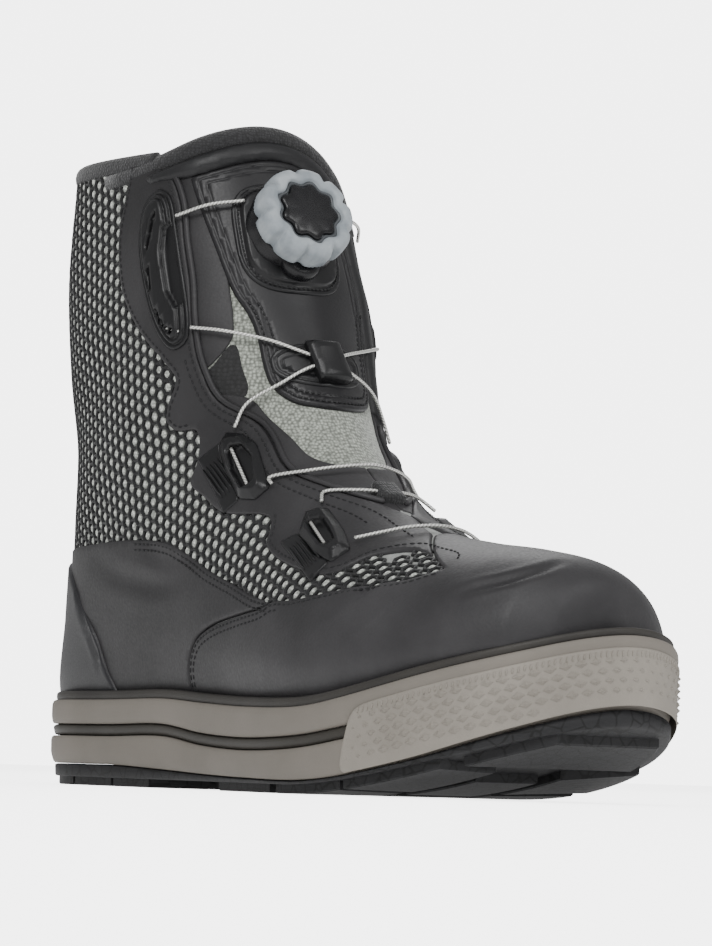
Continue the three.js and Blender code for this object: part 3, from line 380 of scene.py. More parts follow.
half_at = lambda x, side: np.interp(x, PLAN[:tip + 1, 0], PLAN[:tip + 1, 1]) if side < 0 else \
    np.interp(x, np.append(PLAN[tip:, 0], PLAN[0, 0])[::-1], np.append(PLAN[tip:, 1], PLAN[0, 1])[::-1])


def sipe_painted_shade(tree, colour, texture):
    """Painted shade of thin cuts in the lugs: an irregular net of dark lines in the colour."""
    place = add_node(tree, "ShaderNodeTexCoord")
    net = add_node(tree, "ShaderNodeTexVoronoi", {"Vector": place.outputs["Object"], "Scale": 165.0},
                   feature="DISTANCE_TO_EDGE")
    line = add_node(tree, "ShaderNodeMapRange", {
        "Value": net.outputs["Distance"], "From Min": 0.03, "From Max": 0.07, "To Min": 0.1, "To Max": 1.0})
    return add_node(tree, "ShaderNodeMix", {0: line.outputs[0], 6: (0.002, 0.002, 0.002, 1), 7: colour},
                    data_type="RGBA").outputs[2]


# The tread's colour carries the sipes' painted shade as dark lines.
tread_black = moulded_finish("black tread rubber", (0.008, 0.008, 0.009), (0.015, 0.015, 0.016), 0.6, 0.0005,
                             0.00005, mix=sipe_painted_shade)
lug_points = []
lug_faces = []
for start, end, near, far, skew in LUGS:
    rows = 7
    first = len(lug_points)
    for i in range(rows + 1):
        for j, (edge, drop) in enumerate(((near, 3.6), (near, 0.5), (near, 0.0), (far, 0.0), (far, 0.5),
                                          (far, 3.6))):
            trim = 0.6 if drop == 0 else 0
            share = i / rows
            along = (start + (end - start) * share + (skew if abs(edge) > 0.5 else 0)) * LENGTH
            end_trim = (0.5 if i == 0 else -0.5 if i == rows else 0) if drop == 0 else 0
            x = along + end_trim
            middle = (half_at(x, -1) + half_at(x, 1)) / 2
            half = (half_at(x, 1) - half_at(x, -1)) / 2 - 2
            y = middle + edge * half
            y += trim if edge == near else -trim
            lug_points.append((x, y, floor_at(x) + drop))
    for i in range(rows):
        for j in range(5):
            a = first + 6 * i + j
            lug_faces.append([a, a + 6, a + 7, a + 1])
    last = first + 6 * rows
    lug_faces.append([first + k for k in range(6)])
    lug_faces.append([last + k for k in (5, 4, 3, 2, 1, 0)])
lugs = make("tread_lugs", lug_points, lug_faces)
work = bmesh.new()
work.from_mesh(lugs.data)
bmesh.ops.recalc_face_normals(work, faces=work.faces)
work.to_mesh(lugs.data)
work.free()
dress(lugs, tread_black, "tread_rubber", "tread", smooth=False)
plate_low = lambda up: (lambda x: floor_at(x) + TREAD_DEPTH + up)
plate = ring_body("tread_plate", [
    (3.2, plate_low(0.0)), (2.2, plate_low(0.2)), (1.9, plate_low(0.9)), (1.7, lambda x: frame_at(x) - 0.6),
    (2.6, lambda x: frame_at(x) - 0.2)])
dress(plate, tread_black, "tread_rubber", "tread")


# Welt
# A strip of dark rubber between the sole and the upper, set in a little from the sole's edge. It closes
# against the moulded panels all round.
welt_dark = moulded_finish("welt rubber", (0.022, 0.020, 0.018), (0.036, 0.033, 0.029), 0.55, 0.0004, 0.00004)
welt_high = lambda up: (lambda x: rim_at(x) + up)
welt = ring_body("welt_strip", [
    (1.9, welt_high(-0.4)), (1.5, welt_high(0.3)), (1.35, welt_high(1.4)), (1.5, welt_high(2.5)),
    (2.1, welt_high(3.1)), (3.2, welt_high(3.4)), (10.0, welt_high(2.6))], closed=False)
dress(welt, welt_dark, "welt_strip", "welt")


# Form
# The shape of the foot and the leg that every layer of the upper follows, from sections between the sole
# and the instep. It is not a piece of its own.
TOE_HEIGHT, INSTEP_HEIGHT, COLLAR_HEIGHT = 88.0, 130.0, 238.0
RISE = {"toe": TOE_HEIGHT - SOLE_HEIGHT, "instep": INSTEP_HEIGHT - SOLE_HEIGHT,
        "shaft": COLLAR_HEIGHT - SOLE_HEIGHT}
SHAFT_RISE = RISE["shaft"]
SECTIONS = (  # girth, rise, topAlong, topUp, baseAlong, baseUp, flat, low, mid, high, swing
    ("ball", "toe", 0.965, 0.600, 0.962, 0.010, 0.60, 0.052, 0.043, 0.026, 0.078),
    ("ball", "toe", 0.955, 0.764, 0.955, -0.010, 0.75, 0.195, 0.165, 0.103, 0.069),
    ("ball", "toe", 0.927, 0.873, 0.932, -0.014, 0.80, 0.300, 0.262, 0.155, 0.052),
    ("ball", "toe", 0.870, 0.945, 0.880, -0.014, 0.80, 0.385, 0.338, 0.198, 0.026),
    ("ball", "toe", 0.791, 1.000, 0.797, -0.014, 0.80, 0.436, 0.376, 0.216, 0.000),
    ("ball", "toe", 0.709, 1.090, 0.703, -0.014, 0.80, 0.450, 0.388, 0.216, -0.017),
    ("ball", "instep", 0.636, 0.722, 0.601, -0.014, 0.80, 0.431, 0.371, 0.216, -0.026),
    ("ball", "instep", 0.579, 0.856, 0.475, -0.014, 0.78, 0.379, 0.353, 0.216, -0.026),
    ("heel", "instep", 0.535, 1.000, 0.342, -0.014, 0.76, 0.526, 0.540, 0.355, -0.026),
    ("heel", "shaft", 0.503, 0.541, 0.172, -0.014, 0.74, 0.500, 0.566, 0.395, -0.013),
    ("heel", "shaft", 0.481, 0.605, 0.042, 0.000, 0.60, 0.480, 0.592, 0.434, 0.000),
    ("leg", "shaft", 0.465, 0.663, 0.025, 0.107, 0.45, 0.383, 0.489, 0.372, 0.000),
    ("leg", "shaft", 0.449, 0.722, 0.028, 0.254, 0.35, 0.394, 0.500, 0.394, 0.000),
    ("leg", "shaft", 0.434, 0.785, 0.036, 0.415, 0.35, 0.404, 0.501, 0.394, 0.001),
    ("leg", "shaft", 0.418, 0.854, 0.024, 0.580, 0.35, 0.415, 0.491, 0.384, -0.009),
    ("leg", "shaft", 0.396, 0.941, 0.020, 0.766, 0.35, 0.426, 0.470, 0.374, -0.009),
    ("leg", "shaft", 0.370, 1.039, 0.042, 0.966, 0.35, 0.426, 0.454, 0.359, -0.014),
    ("leg", "shaft", 0.342, 1.137, 0.058, 1.098, 0.35, 0.426, 0.449, 0.354, -0.019))
STATIONS, ROUND = 240, 200


def form_grid():
    """The form's points and outward directions, one row for each station, the underside's middle first."""
    shares = np.linspace(0, 1, STATIONS)
    top = curve([(r[2] * LENGTH, SOLE_HEIGHT + r[3] * RISE[r[1]]) for r in SECTIONS], shares)
    base = curve([(r[4] * LENGTH, rim_at(r[4] * LENGTH) + r[5] * SHAFT_RISE) for r in SECTIONS], shares)
    half = curve([[v * GIRTH[r[0]] for v in r[7:10]] for r in SECTIONS], shares)
    turn = curve([(r[6] * GIRTH["ball"] / 2, r[10] * GIRTH[r[0]]) for r in SECTIONS], shares)
    points = np.empty((STATIONS, ROUND + 1, 3))
    for i in range(STATIONS):
        high = np.linalg.norm(top[i] - base[i])
        axis = (top[i] - base[i]) / high
        low, mid, upper = half[i]
        right = [(low * turn[i, 0] / (GIRTH["ball"] / 2), 0), (low, 0.22), (mid, 0.60), (upper, 0.88)]
        control = [(0, 0)] + [(-y, h) for y, h in right] + [(0, 1)] + right[::-1]
        ring = curve([(y, h * high) for y, h in control], np.linspace(0, 1, ROUND + 1)[:-1], closed=True)
        ring = np.vstack([ring, ring[:1]])
        points[i] = np.column_stack([base[i, 0] + axis[0] * ring[:, 1], ring[:, 0] + turn[i, 1],
                                     base[i, 1] + axis[1] * ring[:, 1]])
    along = np.gradient(points, axis=0)
    wrapped = np.concatenate([points[:, -2:-1], points, points[:, 1:2]], axis=1)
    across = wrapped[:, 2:] - wrapped[:, :-2]
    out = np.cross(across, along)
    out /= np.linalg.norm(out, axis=2)[..., None]
    return points, out


form_points, form_out = form_grid()
arc_round = np.concatenate([np.zeros((STATIONS, 1)), np.cumsum(
    np.linalg.norm(np.diff(form_points, axis=1), axis=2), axis=1)], axis=1)
arc_along = np.concatenate([np.zeros((1, ROUND + 1)), np.cumsum(
    np.linalg.norm(np.diff(form_points, axis=0), axis=2), axis=0)], axis=0)
# The first ring is closed with a point, so that the toe has no hole
form_points = np.concatenate([form_points[:1].mean(1, keepdims=True).repeat(ROUND + 1, 1)
                              + np.array([0.6, 0, 0.4]), form_points])
form_out = np.concatenate([np.broadcast_to([0.97, 0.0, 0.24], (1, ROUND + 1, 3)), form_out])
form_out[1] = form_out[1] * 0.5 + form_out[0] * 0.5
form_out[1] /= np.linalg.norm(form_out[1], axis=1)[:, None]
STATIONS += 1
arc_round = np.concatenate([arc_round[:1] * 0, arc_round])
arc_along = np.concatenate([arc_along[:1], arc_along])
# Columns: point, outward direction, distances round and along the form
FORM = np.concatenate([form_points, form_out, (arc_round - arc_round[:, -1:] / 2)[..., None],
                       arc_along.mean(1)[:, None, None].repeat(ROUND + 1, 1)], axis=2).reshape(-1, 8)
corner = (np.arange(STATIONS - 1)[:, None] * (ROUND + 1) + np.arange(ROUND)[None]).ravel()
FORM_FACES = np.vstack([np.column_stack([corner, corner + 1, corner + ROUND + 2]),
                        np.column_stack([corner, corner + ROUND + 2, corner + ROUND + 1])])
form_tree = BVHTree.FromPolygons(FORM[:, :3].tolist(), FORM_FACES.tolist())


def seat(origin, direction, out=0.0):
    """The first point of the form along a ray, pushed outwards, and the form's direction there."""
    hit = form_tree.ray_cast(Vector(origin), Vector(direction))
    if hit[0] is None:
        return None
    corners = FORM_FACES[hit[2]]
    weights = np.array(poly_3d_calc([Vector(p) for p in FORM[corners, :3]], hit[0]))
    facing = weights @ FORM[corners, 3:6]
    facing /= np.linalg.norm(facing)
    return np.array(hit[0]) + facing * out, facing


on_side = lambda x, z, side, out=0.0: seat((x, side * 300, z), (0, -side, 0), out)
on_front = lambda y, z, out=0.0: seat((600, y, z), (-1, 0, 0), out)
on_back = lambda y, z, out=0.0: seat((-300, y, z), (1, 0, 0), out)


# Outlines
# The panels' edges, seen from the side, as the pattern cutter would draw them. They are shared by the
# panels, by the net that shows between them and by the stitches along them.
outline_of = lambda rows: [(along * LENGTH, SOLE_HEIGHT + up * SHAFT_RISE) for along, up in rows]
THROAT_EDGE = outline_of((
    (0.272, 1.150), (0.288, 1.000), (0.316, 0.971), (0.335, 0.922), (0.351, 0.844), (0.367, 0.766),
    (0.380, 0.673),
    (0.396, 0.590), (0.415, 0.541), (0.468, 0.493), (0.522, 0.410), (0.576, 0.373), (0.633, 0.341),
    (0.690, 0.302),
    (0.722, 0.284)))
RAND_EDGE = outline_of((
    (0.405, 0.000), (0.405, 0.018), (0.409, 0.067), (0.428, 0.104), (0.465, 0.127), (0.538, 0.146),
    (0.582, 0.156),
    (0.601, 0.167), (0.636, 0.168), (0.696, 0.180), (0.747, 0.190), (0.797, 0.198), (0.829, 0.215)))
HEEL_EDGE = outline_of((
    (-0.100, 0.285), (0.171, 0.291), (0.291, 0.293), (0.361, 0.283), (0.399, 0.263), (0.453, 0.228),
    (0.506, 0.203), (0.557, 0.178), (0.600, 0.166)))
COUNTER_EDGE = outline_of((
    (-0.100, 0.268), (0.060, 0.268), (0.105, 0.238), (0.146, 0.185), (0.180, 0.129), (0.199, 0.071),
    (0.222, 0.020), (0.240, -0.050)))
EYESTAY_EDGE = outline_of((
    (0.247, 1.150), (0.247, 0.990), (0.241, 0.934), (0.234, 0.860), (0.253, 0.761), (0.291, 0.681),
    (0.345, 0.611),
    (0.361, 0.582), (0.348, 0.532), (0.348, 0.504), (0.364, 0.486), (0.392, 0.485), (0.399, 0.429),
    (0.392, 0.390),
    (0.418, 0.364), (0.456, 0.332), (0.535, 0.319), (0.544, 0.295), (0.547, 0.271), (0.570, 0.247),
    (0.620, 0.222),
    (0.661, 0.210), (0.687, 0.219), (0.706, 0.243), (0.737, 0.254), (0.775, 0.245), (0.820, 0.229),
    (0.829, 0.215)))


def smooth(points, per=5):
    """A denser run through the given points."""
    return curve(points, np.linspace(0, 1, per * (len(points) - 1) + 1))


throat_line, rand_line, heel_line = smooth(THROAT_EDGE), smooth(RAND_EDGE), smooth(HEEL_EDGE)
counter_line, eyestay_line = smooth(COUNTER_EDGE), smooth(EYESTAY_EDGE)
closed = lambda *runs: np.vstack([np.asarray(run, float) for run in runs])
far = lambda *rows: outline_of(rows)
THROAT = closed(throat_line, far((0.760, 0.380), (0.760, 1.150)))
TOE_PANEL = closed(far((0.405, -0.300)), rand_line, far((0.722, 0.284), (0.700, 0.400), (1.100, 0.400),
                                                        (1.100, -0.300)))
HEEL_PANEL = closed(far((-0.100, -0.300)), heel_line, far((0.500, -0.300)))
COUNTER = closed(far((-0.100, -0.300)), counter_line, far((0.240, -0.300)))
EYESTAY = closed(eyestay_line, far((0.850, 0.215), (0.850, 0.320), (0.722, 0.320)), throat_line[::-1])


def inside_by(outline, places, facing=None):
    """How far points lie inside a closed outline, in the plane of its two axes; negative outside. With
    facing, the part of the outward direction in that plane, the distance is measured over the surface."""
    outline = np.asarray(outline)
    nearest = np.full(len(places), 1e9)
    toward = np.zeros((len(places), 2))
    inside = np.zeros(len(places), bool)
    for a, b in zip(outline, np.roll(outline, -1, 0)):
        run = b - a
        if not run.any():
            continue
        share = np.clip(((places - a) @ run) / (run @ run), 0, 1)
        offset = a + share[:, None] * run - places
        distance = np.hypot(offset[:, 0], offset[:, 1])
        closer = distance < nearest
        nearest[closer] = distance[closer]
        toward[closer] = offset[closer]
        crosses = (a[1] > places[:, 1]) != (b[1] > places[:, 1])
        if run[1]:
            at = a[0] + (places[:, 1] - a[1]) / run[1] * run[0]
            inside ^= crosses & (places[:, 0] < at)
    if facing is not None:
        lean = (toward * facing).sum(1) / np.maximum(nearest, 1e-6)
        nearest = nearest / np.sqrt(np.maximum(1 - lean ** 2, 0.12))
    return np.where(inside, nearest, -nearest)


by_side = lambda outline: inside_by(outline, FORM[:, [0, 2]], FORM[:, [3, 5]])
by_front = lambda outline: inside_by(outline, FORM[:, [1, 2]], FORM[:, [4, 5]])


def score(data, faces, column, level):
    """Splits the triangles where a column of data crosses a level, so that an edge runs along it."""
    value = data[:, column] - level
    value[np.abs(value) < 2e-3] = 2e-3
    above = (value > 0)[faces]
    count = above.sum(1)
    mixed = (count == 1) | (count == 2)
    split = faces[mixed]
    lone = np.where(count[mixed] == 1, above[mixed].argmax(1), (~above[mixed]).argmax(1))
    row = np.arange(len(split))
    a, b, c = (split[row, (lone + k) % 3] for k in range(3))
    edges = np.sort(np.vstack([np.column_stack([a, b]), np.column_stack([a, c])]), axis=1)
    unique, where = np.unique(edges, axis=0, return_inverse=True)
    share = (value[unique[:, 0]] / (value[unique[:, 0]] - value[unique[:, 1]]))[:, None]
    new = data[unique[:, 0]] * (1 - share) + data[unique[:, 1]] * share
    where = where.reshape(-1) + len(data)
    p, q = where[:len(split)], where[len(split):]
    return np.vstack([data, new]), np.vstack([
        faces[~mixed], np.column_stack([a, p, q]), np.column_stack([p, b, c]), np.column_stack([p, c, q])])


def folded(folds):
    """A change of height from soft folds. Each is a side, its places in the side view, a depth and a width;
    the leather dips along the line and swells a little beside it."""
    def change(data):
        height = np.zeros(len(data))
        for side, places, depth, wide in folds:
            run = curve([on_side(x, z, side)[0] for x, z in places], np.linspace(0, 1, 60))
            away = np.linalg.norm(data[:, None, :3] - run[None], axis=2)
            fade = np.sin(np.pi * (away.argmin(1) + 1) / 61) ** 0.6
            away = away.min(1) / wide
            height += depth * fade * (0.4 * np.exp(-((away - 2.2) / 1.1) ** 2) - np.exp(-away ** 2))
        return height
    return change


def layer(name, inside, profile, cuts=(), ripple=None, base=None):
    """A layer over the form, kept where inside is above zero. profile is the height over the form by the
    distance from the edge. cuts are further (distances, profile) that press the surface down. ripple
    changes the height by the point."""
    ground, corners = base or (FORM, FORM_FACES)
    data = np.column_stack([ground, inside] + [distances for distances, _ in cuts])
    near = (data[corners, 8] > -1).any(1)
    used, faces = np.unique(corners[near], return_inverse=True)
    data, faces = data[used], faces.reshape(-1, 3)
    for k, rows in enumerate([profile] + [rows for _, rows in cuts]):
        for distance, _ in rows:
            data, faces = score(data, faces, 8 + k, distance)
    faces = faces[data[faces, 8].mean(1) > profile[0][0]]
    height = np.interp(data[:, 8], *zip(*profile))
    for k, (_, rows) in enumerate(cuts):
        height = np.minimum(height, np.interp(data[:, 9 + k], *zip(*rows), left=1e3))
    if ripple:
        height = height + ripple(data)
    used, faces = np.unique(faces, return_inverse=True)
    data, height = data[used], height[used]
    return make(name, data[:, :3] + data[:, 3:6] * height[:, None], faces.reshape(-1, 3), data[:, 6:8])


# Upper
# The lining and a light grey knit form the boot's closed wall. The knit only shows in the cells of the
# net that lies over it.
WALL = 2.4
above_rim = FORM[:, 2] - rim_at(FORM[:, 0])
under_collar = COLLAR_HEIGHT - FORM[:, 2]
outside_throat = -by_side(THROAT)
lining_cloth = moulded_finish("black lining cloth", (0.014, 0.014, 0.015), (0.024, 0.024, 0.026), 0.9, 0.0007,
                              0.0002, sheen=0.3)
knit_light = moulded_finish("light grey knit", (0.20, 0.21, 0.20), (0.30, 0.31, 0.295), 0.85, 0.0009, 0.0003,
                            cloud_size=0.004, sheen=0.3)
upper_knit = layer("upper_knit", np.minimum.reduce([above_rim + 2, under_collar, outside_throat + 1]),
                   [(0.0, 0.0), (50.0, 0.0)])
dress(upper_knit, knit_light, "mesh_fabric", "upper")
lining = layer("upper_lining", np.minimum.reduce([under_collar, outside_throat]),
               [(0.0, -WALL), (50.0, -WALL)])
lining.data.flip_normals()
dress(lining, lining_cloth, "footbed", "upper")


# Moulded and sewn panels
# Coated synthetic leather in charcoal, 1.3 mm thick, with rounded edges. The toe panel wraps the forefoot
# and the toe in one piece; the heel panel goes round the heel; both run down into the sole.
GAP, PANEL = 0.3, 1.3
PANEL_TOP = GAP + PANEL
panel_profile = [(0.0, -0.2), (0.12, 0.7), (0.4, 1.25), (0.9, PANEL_TOP), (60.0, PANEL_TOP)]


def wear_and_painted_shade(tree, colour, texture):
    """The coating is lighter towards the toe, where it is worn, and darker round the heel, where the darkening
    is painted shade.
    """
    place = add_node(tree, "ShaderNodeTexCoord")
    split = add_node(tree, "ShaderNodeSeparateXYZ", {"Vector": place.outputs["Object"]})
    level = add_node(tree, "ShaderNodeMapRange", {
        "Value": split.outputs["X"], "From Min": -0.13, "From Max": 0.06, "To Min": 0.60, "To Max": 1.22})
    return add_node(tree, "ShaderNodeMix", {0: 1.0, 6: colour, 7: level.outputs[0]}, data_type="RGBA",
                    blend_type="MULTIPLY").outputs[2]


# The charcoal coating carries painted shade: its colour darkens towards the heel.
synthetic = moulded_finish("charcoal synthetic leather", (0.0125, 0.0120, 0.0130), (0.0350, 0.0338, 0.0355),
                           0.5, 0.0011, 0.00006, cloud_size=0.05, mix=wear_and_painted_shade)
in_toe, in_heel, in_counter = by_side(TOE_PANEL), by_side(HEEL_PANEL), by_side(COUNTER)
toe_folds = folded([
    (-1, [(276.8, 67.6), (282.3, 70.5), (288.8, 73.1), (292.9, 76.6), (293.1, 79.8)], 0.9, 1.7),
    (-1, [(222, 57), (233, 66), (240, 75), (243, 82)], 0.7, 2.6), (-1, [(238, 52), (249, 62), (256, 71)], 0.5,
                                                                   2.2),
    (1, [(230, 56), (241, 68), (247, 79)], 0.7, 2.6)])
heel_folds = folded([
    (-1, [(62, 86), (84, 79), (110, 76), (134, 79)], 0.8, 3.2),
    (-1, [(96, 90), (114, 84), (138, 83)], 0.5, 2.6),
    (1, [(66, 84), (92, 77), (126, 78)], 0.8, 3.2)])
toe_panel = layer("toe_panel", np.minimum.reduce([in_toe, above_rim + 1.5]), panel_profile, ripple=toe_folds)
dress(toe_panel, synthetic, "synthetic", "toe_rand")
heel_panel = layer("heel_panel", np.minimum.reduce([in_heel, -in_toe - 0.3, above_rim + 1.5]), panel_profile,
                   ripple=heel_folds)
dress(heel_panel, synthetic, "synthetic", "heel_panel")
behind = 80 - FORM[:, 0]
on_backstay = np.minimum(26.5 - np.abs(FORM[:, 1] + 1), behind)
backstay = layer("back_strip", np.minimum.reduce([on_backstay, -in_heel - 0.3, under_collar, above_rim]),
                 [(0.0, -0.2), (0.12, 0.9), (0.5, 1.4), (1.2, 1.6), (60.0, 1.6)])
dress(backstay, synthetic, "synthetic", "backstay")
counter_profile = [(0.0, 0.3), (0.15, 1.9), (0.6, 2.6), (1.4, 2.9), (60.0, 2.9)]
moulded_heel = moulded_finish("moulded heel cap", (0.013, 0.013, 0.0145), (0.020, 0.020, 0.0225), 0.45,
                              0.0006, 0.00004)
cap_facet = [(42, 79), (45, 72.8), (52, 62), (58.3, 50.5), (60, 44)]
counter = layer("heel_cap", np.minimum.reduce([in_counter, behind, above_rim + 1.5]), counter_profile,
                ripple=folded([(-1, cap_facet, 0.9, 1.3), (1, cap_facet, 0.9, 1.3)]))
dress(counter, moulded_heel, "moulded_heel", "heel_counter")
in_eyestay = by_side(EYESTAY)
SIDES = (("lateral", -1), ("medial", 1))
half_of = {side: side * (FORM[:, 1] + 3) for _, side in SIDES}
for side_name, side in SIDES:
    eyestay = layer(f"eyestay_panel_{side_name}", np.minimum.reduce([
        in_eyestay, -in_toe - 0.4, under_collar, half_of[side]]), panel_profile)
    dress(eyestay, synthetic, "synthetic", f"eyestay_{side_name}")


# Tongue
# A padded tongue of heather grey-green knit, higher than the collar and tucked under both eyestays.
# The weave's height also gives the cloth painted shade, darker where the threads are low.
weave, weave_in, weave_out = shader_group(
    "woven tape", [("NodeSocketFloat", "Thread", 0.0006)],
    [("NodeSocketFloat", "Height"), ("NodeSocketFloat", "Gap Shade")])
weave_place = add_node(weave, "ShaderNodeTexCoord")
weave_scale = add_node(weave, "ShaderNodeMath", {0: 1.0, 1: weave_in.outputs["Thread"]}, operation="DIVIDE")
threads = add_node(weave, "ShaderNodeTexVoronoi", {
    "Vector": weave_place.outputs["Object"], "Scale": weave_scale.outputs[0], "Randomness": 0.55})
weave_high = add_node(weave, "ShaderNodeMapRange", {
    "Value": threads.outputs["Distance"], "From Min": 0.0, "From Max": 0.7, "To Min": 1.0, "To Max": 0.0})
weave.links.new(weave_high.outputs[0], weave_out.inputs["Height"])
weave.links.new(weave_high.outputs[0], weave_out.inputs["Gap Shade"])


def woven_finish(name, dark, light, thread, depth, sheen=0.25, roughness=0.85):
    """Cloth of fine knots, with painted shade in its gaps: dark in the gaps, light on the threads."""
    material = bpy.data.materials.new(name)
    material.use_nodes = True
    tree = material.node_tree
    shader = tree.nodes["Principled BSDF"]
    cloth = add_node(tree, "ShaderNodeGroup", node_tree=weave)
    cloth.inputs["Thread"].default_value = thread
    drift = add_node(tree, "ShaderNodeGroup", node_tree=grain)
    drift.inputs["Grain Size"].default_value = thread * 2.4
    drift.inputs["Cloud Size"].default_value = 0.02
    # Painted shade: the colour is dark in the gaps between the threads.
    gap_shaded = add_node(tree, "ShaderNodeMix", {0: cloth.outputs["Gap Shade"], 6: (*dark, 1), 7: (*light, 1)},
                   data_type="RGBA")
    shade = add_node(tree, "ShaderNodeMapRange", {
        "Value": drift.outputs["Speckle"], "From Min": 0.3, "From Max": 0.7, "To Min": 0.82, "To Max": 1.1})
    colour = add_node(tree, "ShaderNodeMix", {0: 1.0, 6: gap_shaded.outputs[2], 7: shade.outputs[0]},
                      data_type="RGBA",
                      blend_type="MULTIPLY")
    bump = add_node(tree, "ShaderNodeBump", {"Height": cloth.outputs["Height"], "Strength": 0.8,
                                             "Distance": depth})
    tree.links.new(colour.outputs[2], shader.inputs["Base Color"])
    tree.links.new(bump.outputs[0], shader.inputs["Normal"])
    shader.inputs["Roughness"].default_value = roughness
    shader.inputs["Sheen Weight"].default_value = sheen
    return material


tongue_knit = woven_finish("heather knit", (0.120, 0.128, 0.109), (0.485, 0.515, 0.452), 0.0012, 0.00025,
                           sheen=0.3)
crown = curve([(-51, 0), (-49, 224), (-42, 237.5), (-30, 245.5), (-8, 251.0), (9, 248.5), (21, 241.5),
               (31, 228),
               (36, 0)], np.linspace(0, 1, 90))
in_throat = by_side(THROAT)
in_front = FORM[:, 3] > -0.2
under_crown = by_front(crown)
tongue_area = np.minimum.reduce([in_throat + 11, under_crown, np.where(in_front, 50.0, -50.0),
                                 290 - FORM[:, 0]])
tongue_profile = [(0.0, -2.4), (0.4, -1.2), (1.4, -0.5), (60.0, -0.4)]
tongue = layer("tongue_pad", tongue_area, tongue_profile,
               cuts=[(in_throat, [(-60.0, -2.9), (-1.5, -2.9), (0.5, -0.4), (60.0, -0.4)])])
dress(tongue, tongue_knit, "knit", "tongue")
tongue_lining = layer("tongue_lining", tongue_area, [(0.0, -6.4), (1.0, -8.2), (60.0, -8.7)])
tongue_lining.data.flip_normals()
dress(tongue_lining, lining_cloth, "footbed", "tongue")


# Tongue panel
# A stiff smooth panel of black synthetic, sewn on the front of the tongue with a double line. It carries
# the dial and the keeper, and two padded rolls finish the tongue above it.
mirror = lambda run: np.vstack([np.asarray(run, float), np.asarray(run, float)[::-1] * [-1, 1]])
tongue_black = moulded_finish("smooth black synthetic", (0.0085, 0.0082, 0.0092), (0.013, 0.0126, 0.0138),
                              0.4, 0.0009,
                              0.00003, cloud_size=0.06)
panel_edge = smooth([(-37, 243), (-36, 225), (-33, 202), (-29.5, 185), (-26, 177), (-24, 168), (-23.3, 158),
                     (-21.5, 149), (-17, 143.6), (-9, 141.8), (0, 141.4)], 6)
in_panel = by_front(mirror(panel_edge))
facing_front = np.where(FORM[:, 3] > -0.1, 60.0, -60.0)
sewn_profile = [(0.0, -0.7), (0.12, 0.4), (0.5, 1.1), (1.1, 1.4), (2.0, 1.4), (2.4, 1.0), (2.8, 1.4),
                (4.6, 1.4),
                (5.0, 1.05), (5.4, 1.4), (60.0, 1.4)]
front_panel = layer("tongue_front_panel", np.minimum.reduce([in_panel, facing_front, under_crown - 13]),
                    sewn_profile)
dress(front_panel, tongue_black, "tongue_synthetic", "tongue_panel")
roll_cloth = moulded_finish("padded roll", (0.009, 0.009, 0.010), (0.014, 0.014, 0.0148), 0.45, 0.001, 0.00003)
roll_area = np.minimum.reduce([under_crown - 4.6, 13.4 - under_crown, facing_front, in_throat + 8])
tongue_roll = layer("tongue_roll", roll_area, [(0.0, -0.6), (0.3, 0.7), (1.0, 1.6), (2.4, 2.6), (4.4, 3.0),
                                               (60.0, 3.0)])
dress(tongue_roll, roll_cloth, "tongue_synthetic")


# Bindings
# Black woven tape is folded over the edge of the tongue and of the collar and filled with foam.
def tube(name, path, radius, sides=12, flat=1.0, facings=None):
    """A round or flattened bar along a path in millimetres, closed at both ends."""
    path = np.asarray(path, float)
    along = np.gradient(path, axis=0)
    along /= np.linalg.norm(along, axis=1)[:, None]
    across = np.asarray(facings, float) if facings is not None else None
    if across is None:
        start = np.cross(along[0], (0.1, 0.2, 0.97))
        across = [start / np.linalg.norm(start)]
        for step in along[1:]:
            turned = across[-1] - step * (across[-1] @ step)
            across.append(turned / np.linalg.norm(turned))
        across = np.array(across)
    else:
        across -= along * (across * along).sum(1)[:, None]
        across /= np.linalg.norm(across, axis=1)[:, None]
    other = np.cross(along, across)
    angles = 2 * np.pi * np.arange(sides + 1) / sides
    length = np.concatenate([[0], np.cumsum(np.linalg.norm(np.diff(path, axis=0), axis=1))])
    rows = path[:, None] + radius * (across[:, None] * np.cos(angles)[None, :, None]
                                     + flat * other[:, None] * np.sin(angles)[None, :, None])
    uv = np.stack(np.broadcast_arrays(angles[None] * radius, length[:, None]), axis=2)
    count, width = len(path), sides + 1
    faces = [[i * width + j, i * width + j + 1, (i + 1) * width + j + 1, (i + 1) * width + j]
             for i in range(count - 1) for j in range(sides)]
    points = np.vstack([rows.reshape(-1, 3), path[:1] - along[:1] * radius * 0.4,
                        path[-1:] + along[-1:] * radius * 0.4])
    uv = np.vstack([uv.reshape(-1, 2), [[0, 0]], [[0, length[-1]]]])
    last = (count - 1) * width
    faces += [[count * width, j + 1, j] for j in range(sides)]
    faces += [[count * width + 1, last + j, last + j + 1] for j in range(sides)]
    return make(name, points, faces, uv)


tape = woven_finish("black woven tape", (0.003, 0.003, 0.0035), (0.020, 0.020, 0.022), 0.0011, 0.0003)
crown_run = [(y, z) for y, z in crown[8:-8] if z > 205]
crown_seats = [on_front(y, z - 3.6) for y, z in crown_run]
crown_seats = [s for s in crown_seats if s is not None]
crown_path = np.array([s[0] + np.array([0, 0, 2.2]) - s[1] * 2.8 for s in crown_seats])
tongue_binding = tube("tongue_binding", crown_path, 4.7, 16, facings=[s[1] for s in crown_seats])
dress(tongue_binding, tape, "webbing")
collar_angles = np.radians(np.linspace(-56, -304, 90))
collar_seats = [seat((62, 2, 238), (math.cos(a), math.sin(a), 0)) for a in collar_angles]
collar_path = np.array([s[0] - s[1] * 0.7 for s in collar_seats])
collar_binding = tube("collar_binding", collar_path, 2.5, 14, flat=1.5, facings=[s[1] for s in collar_seats])
dress(collar_binding, tape, "webbing")


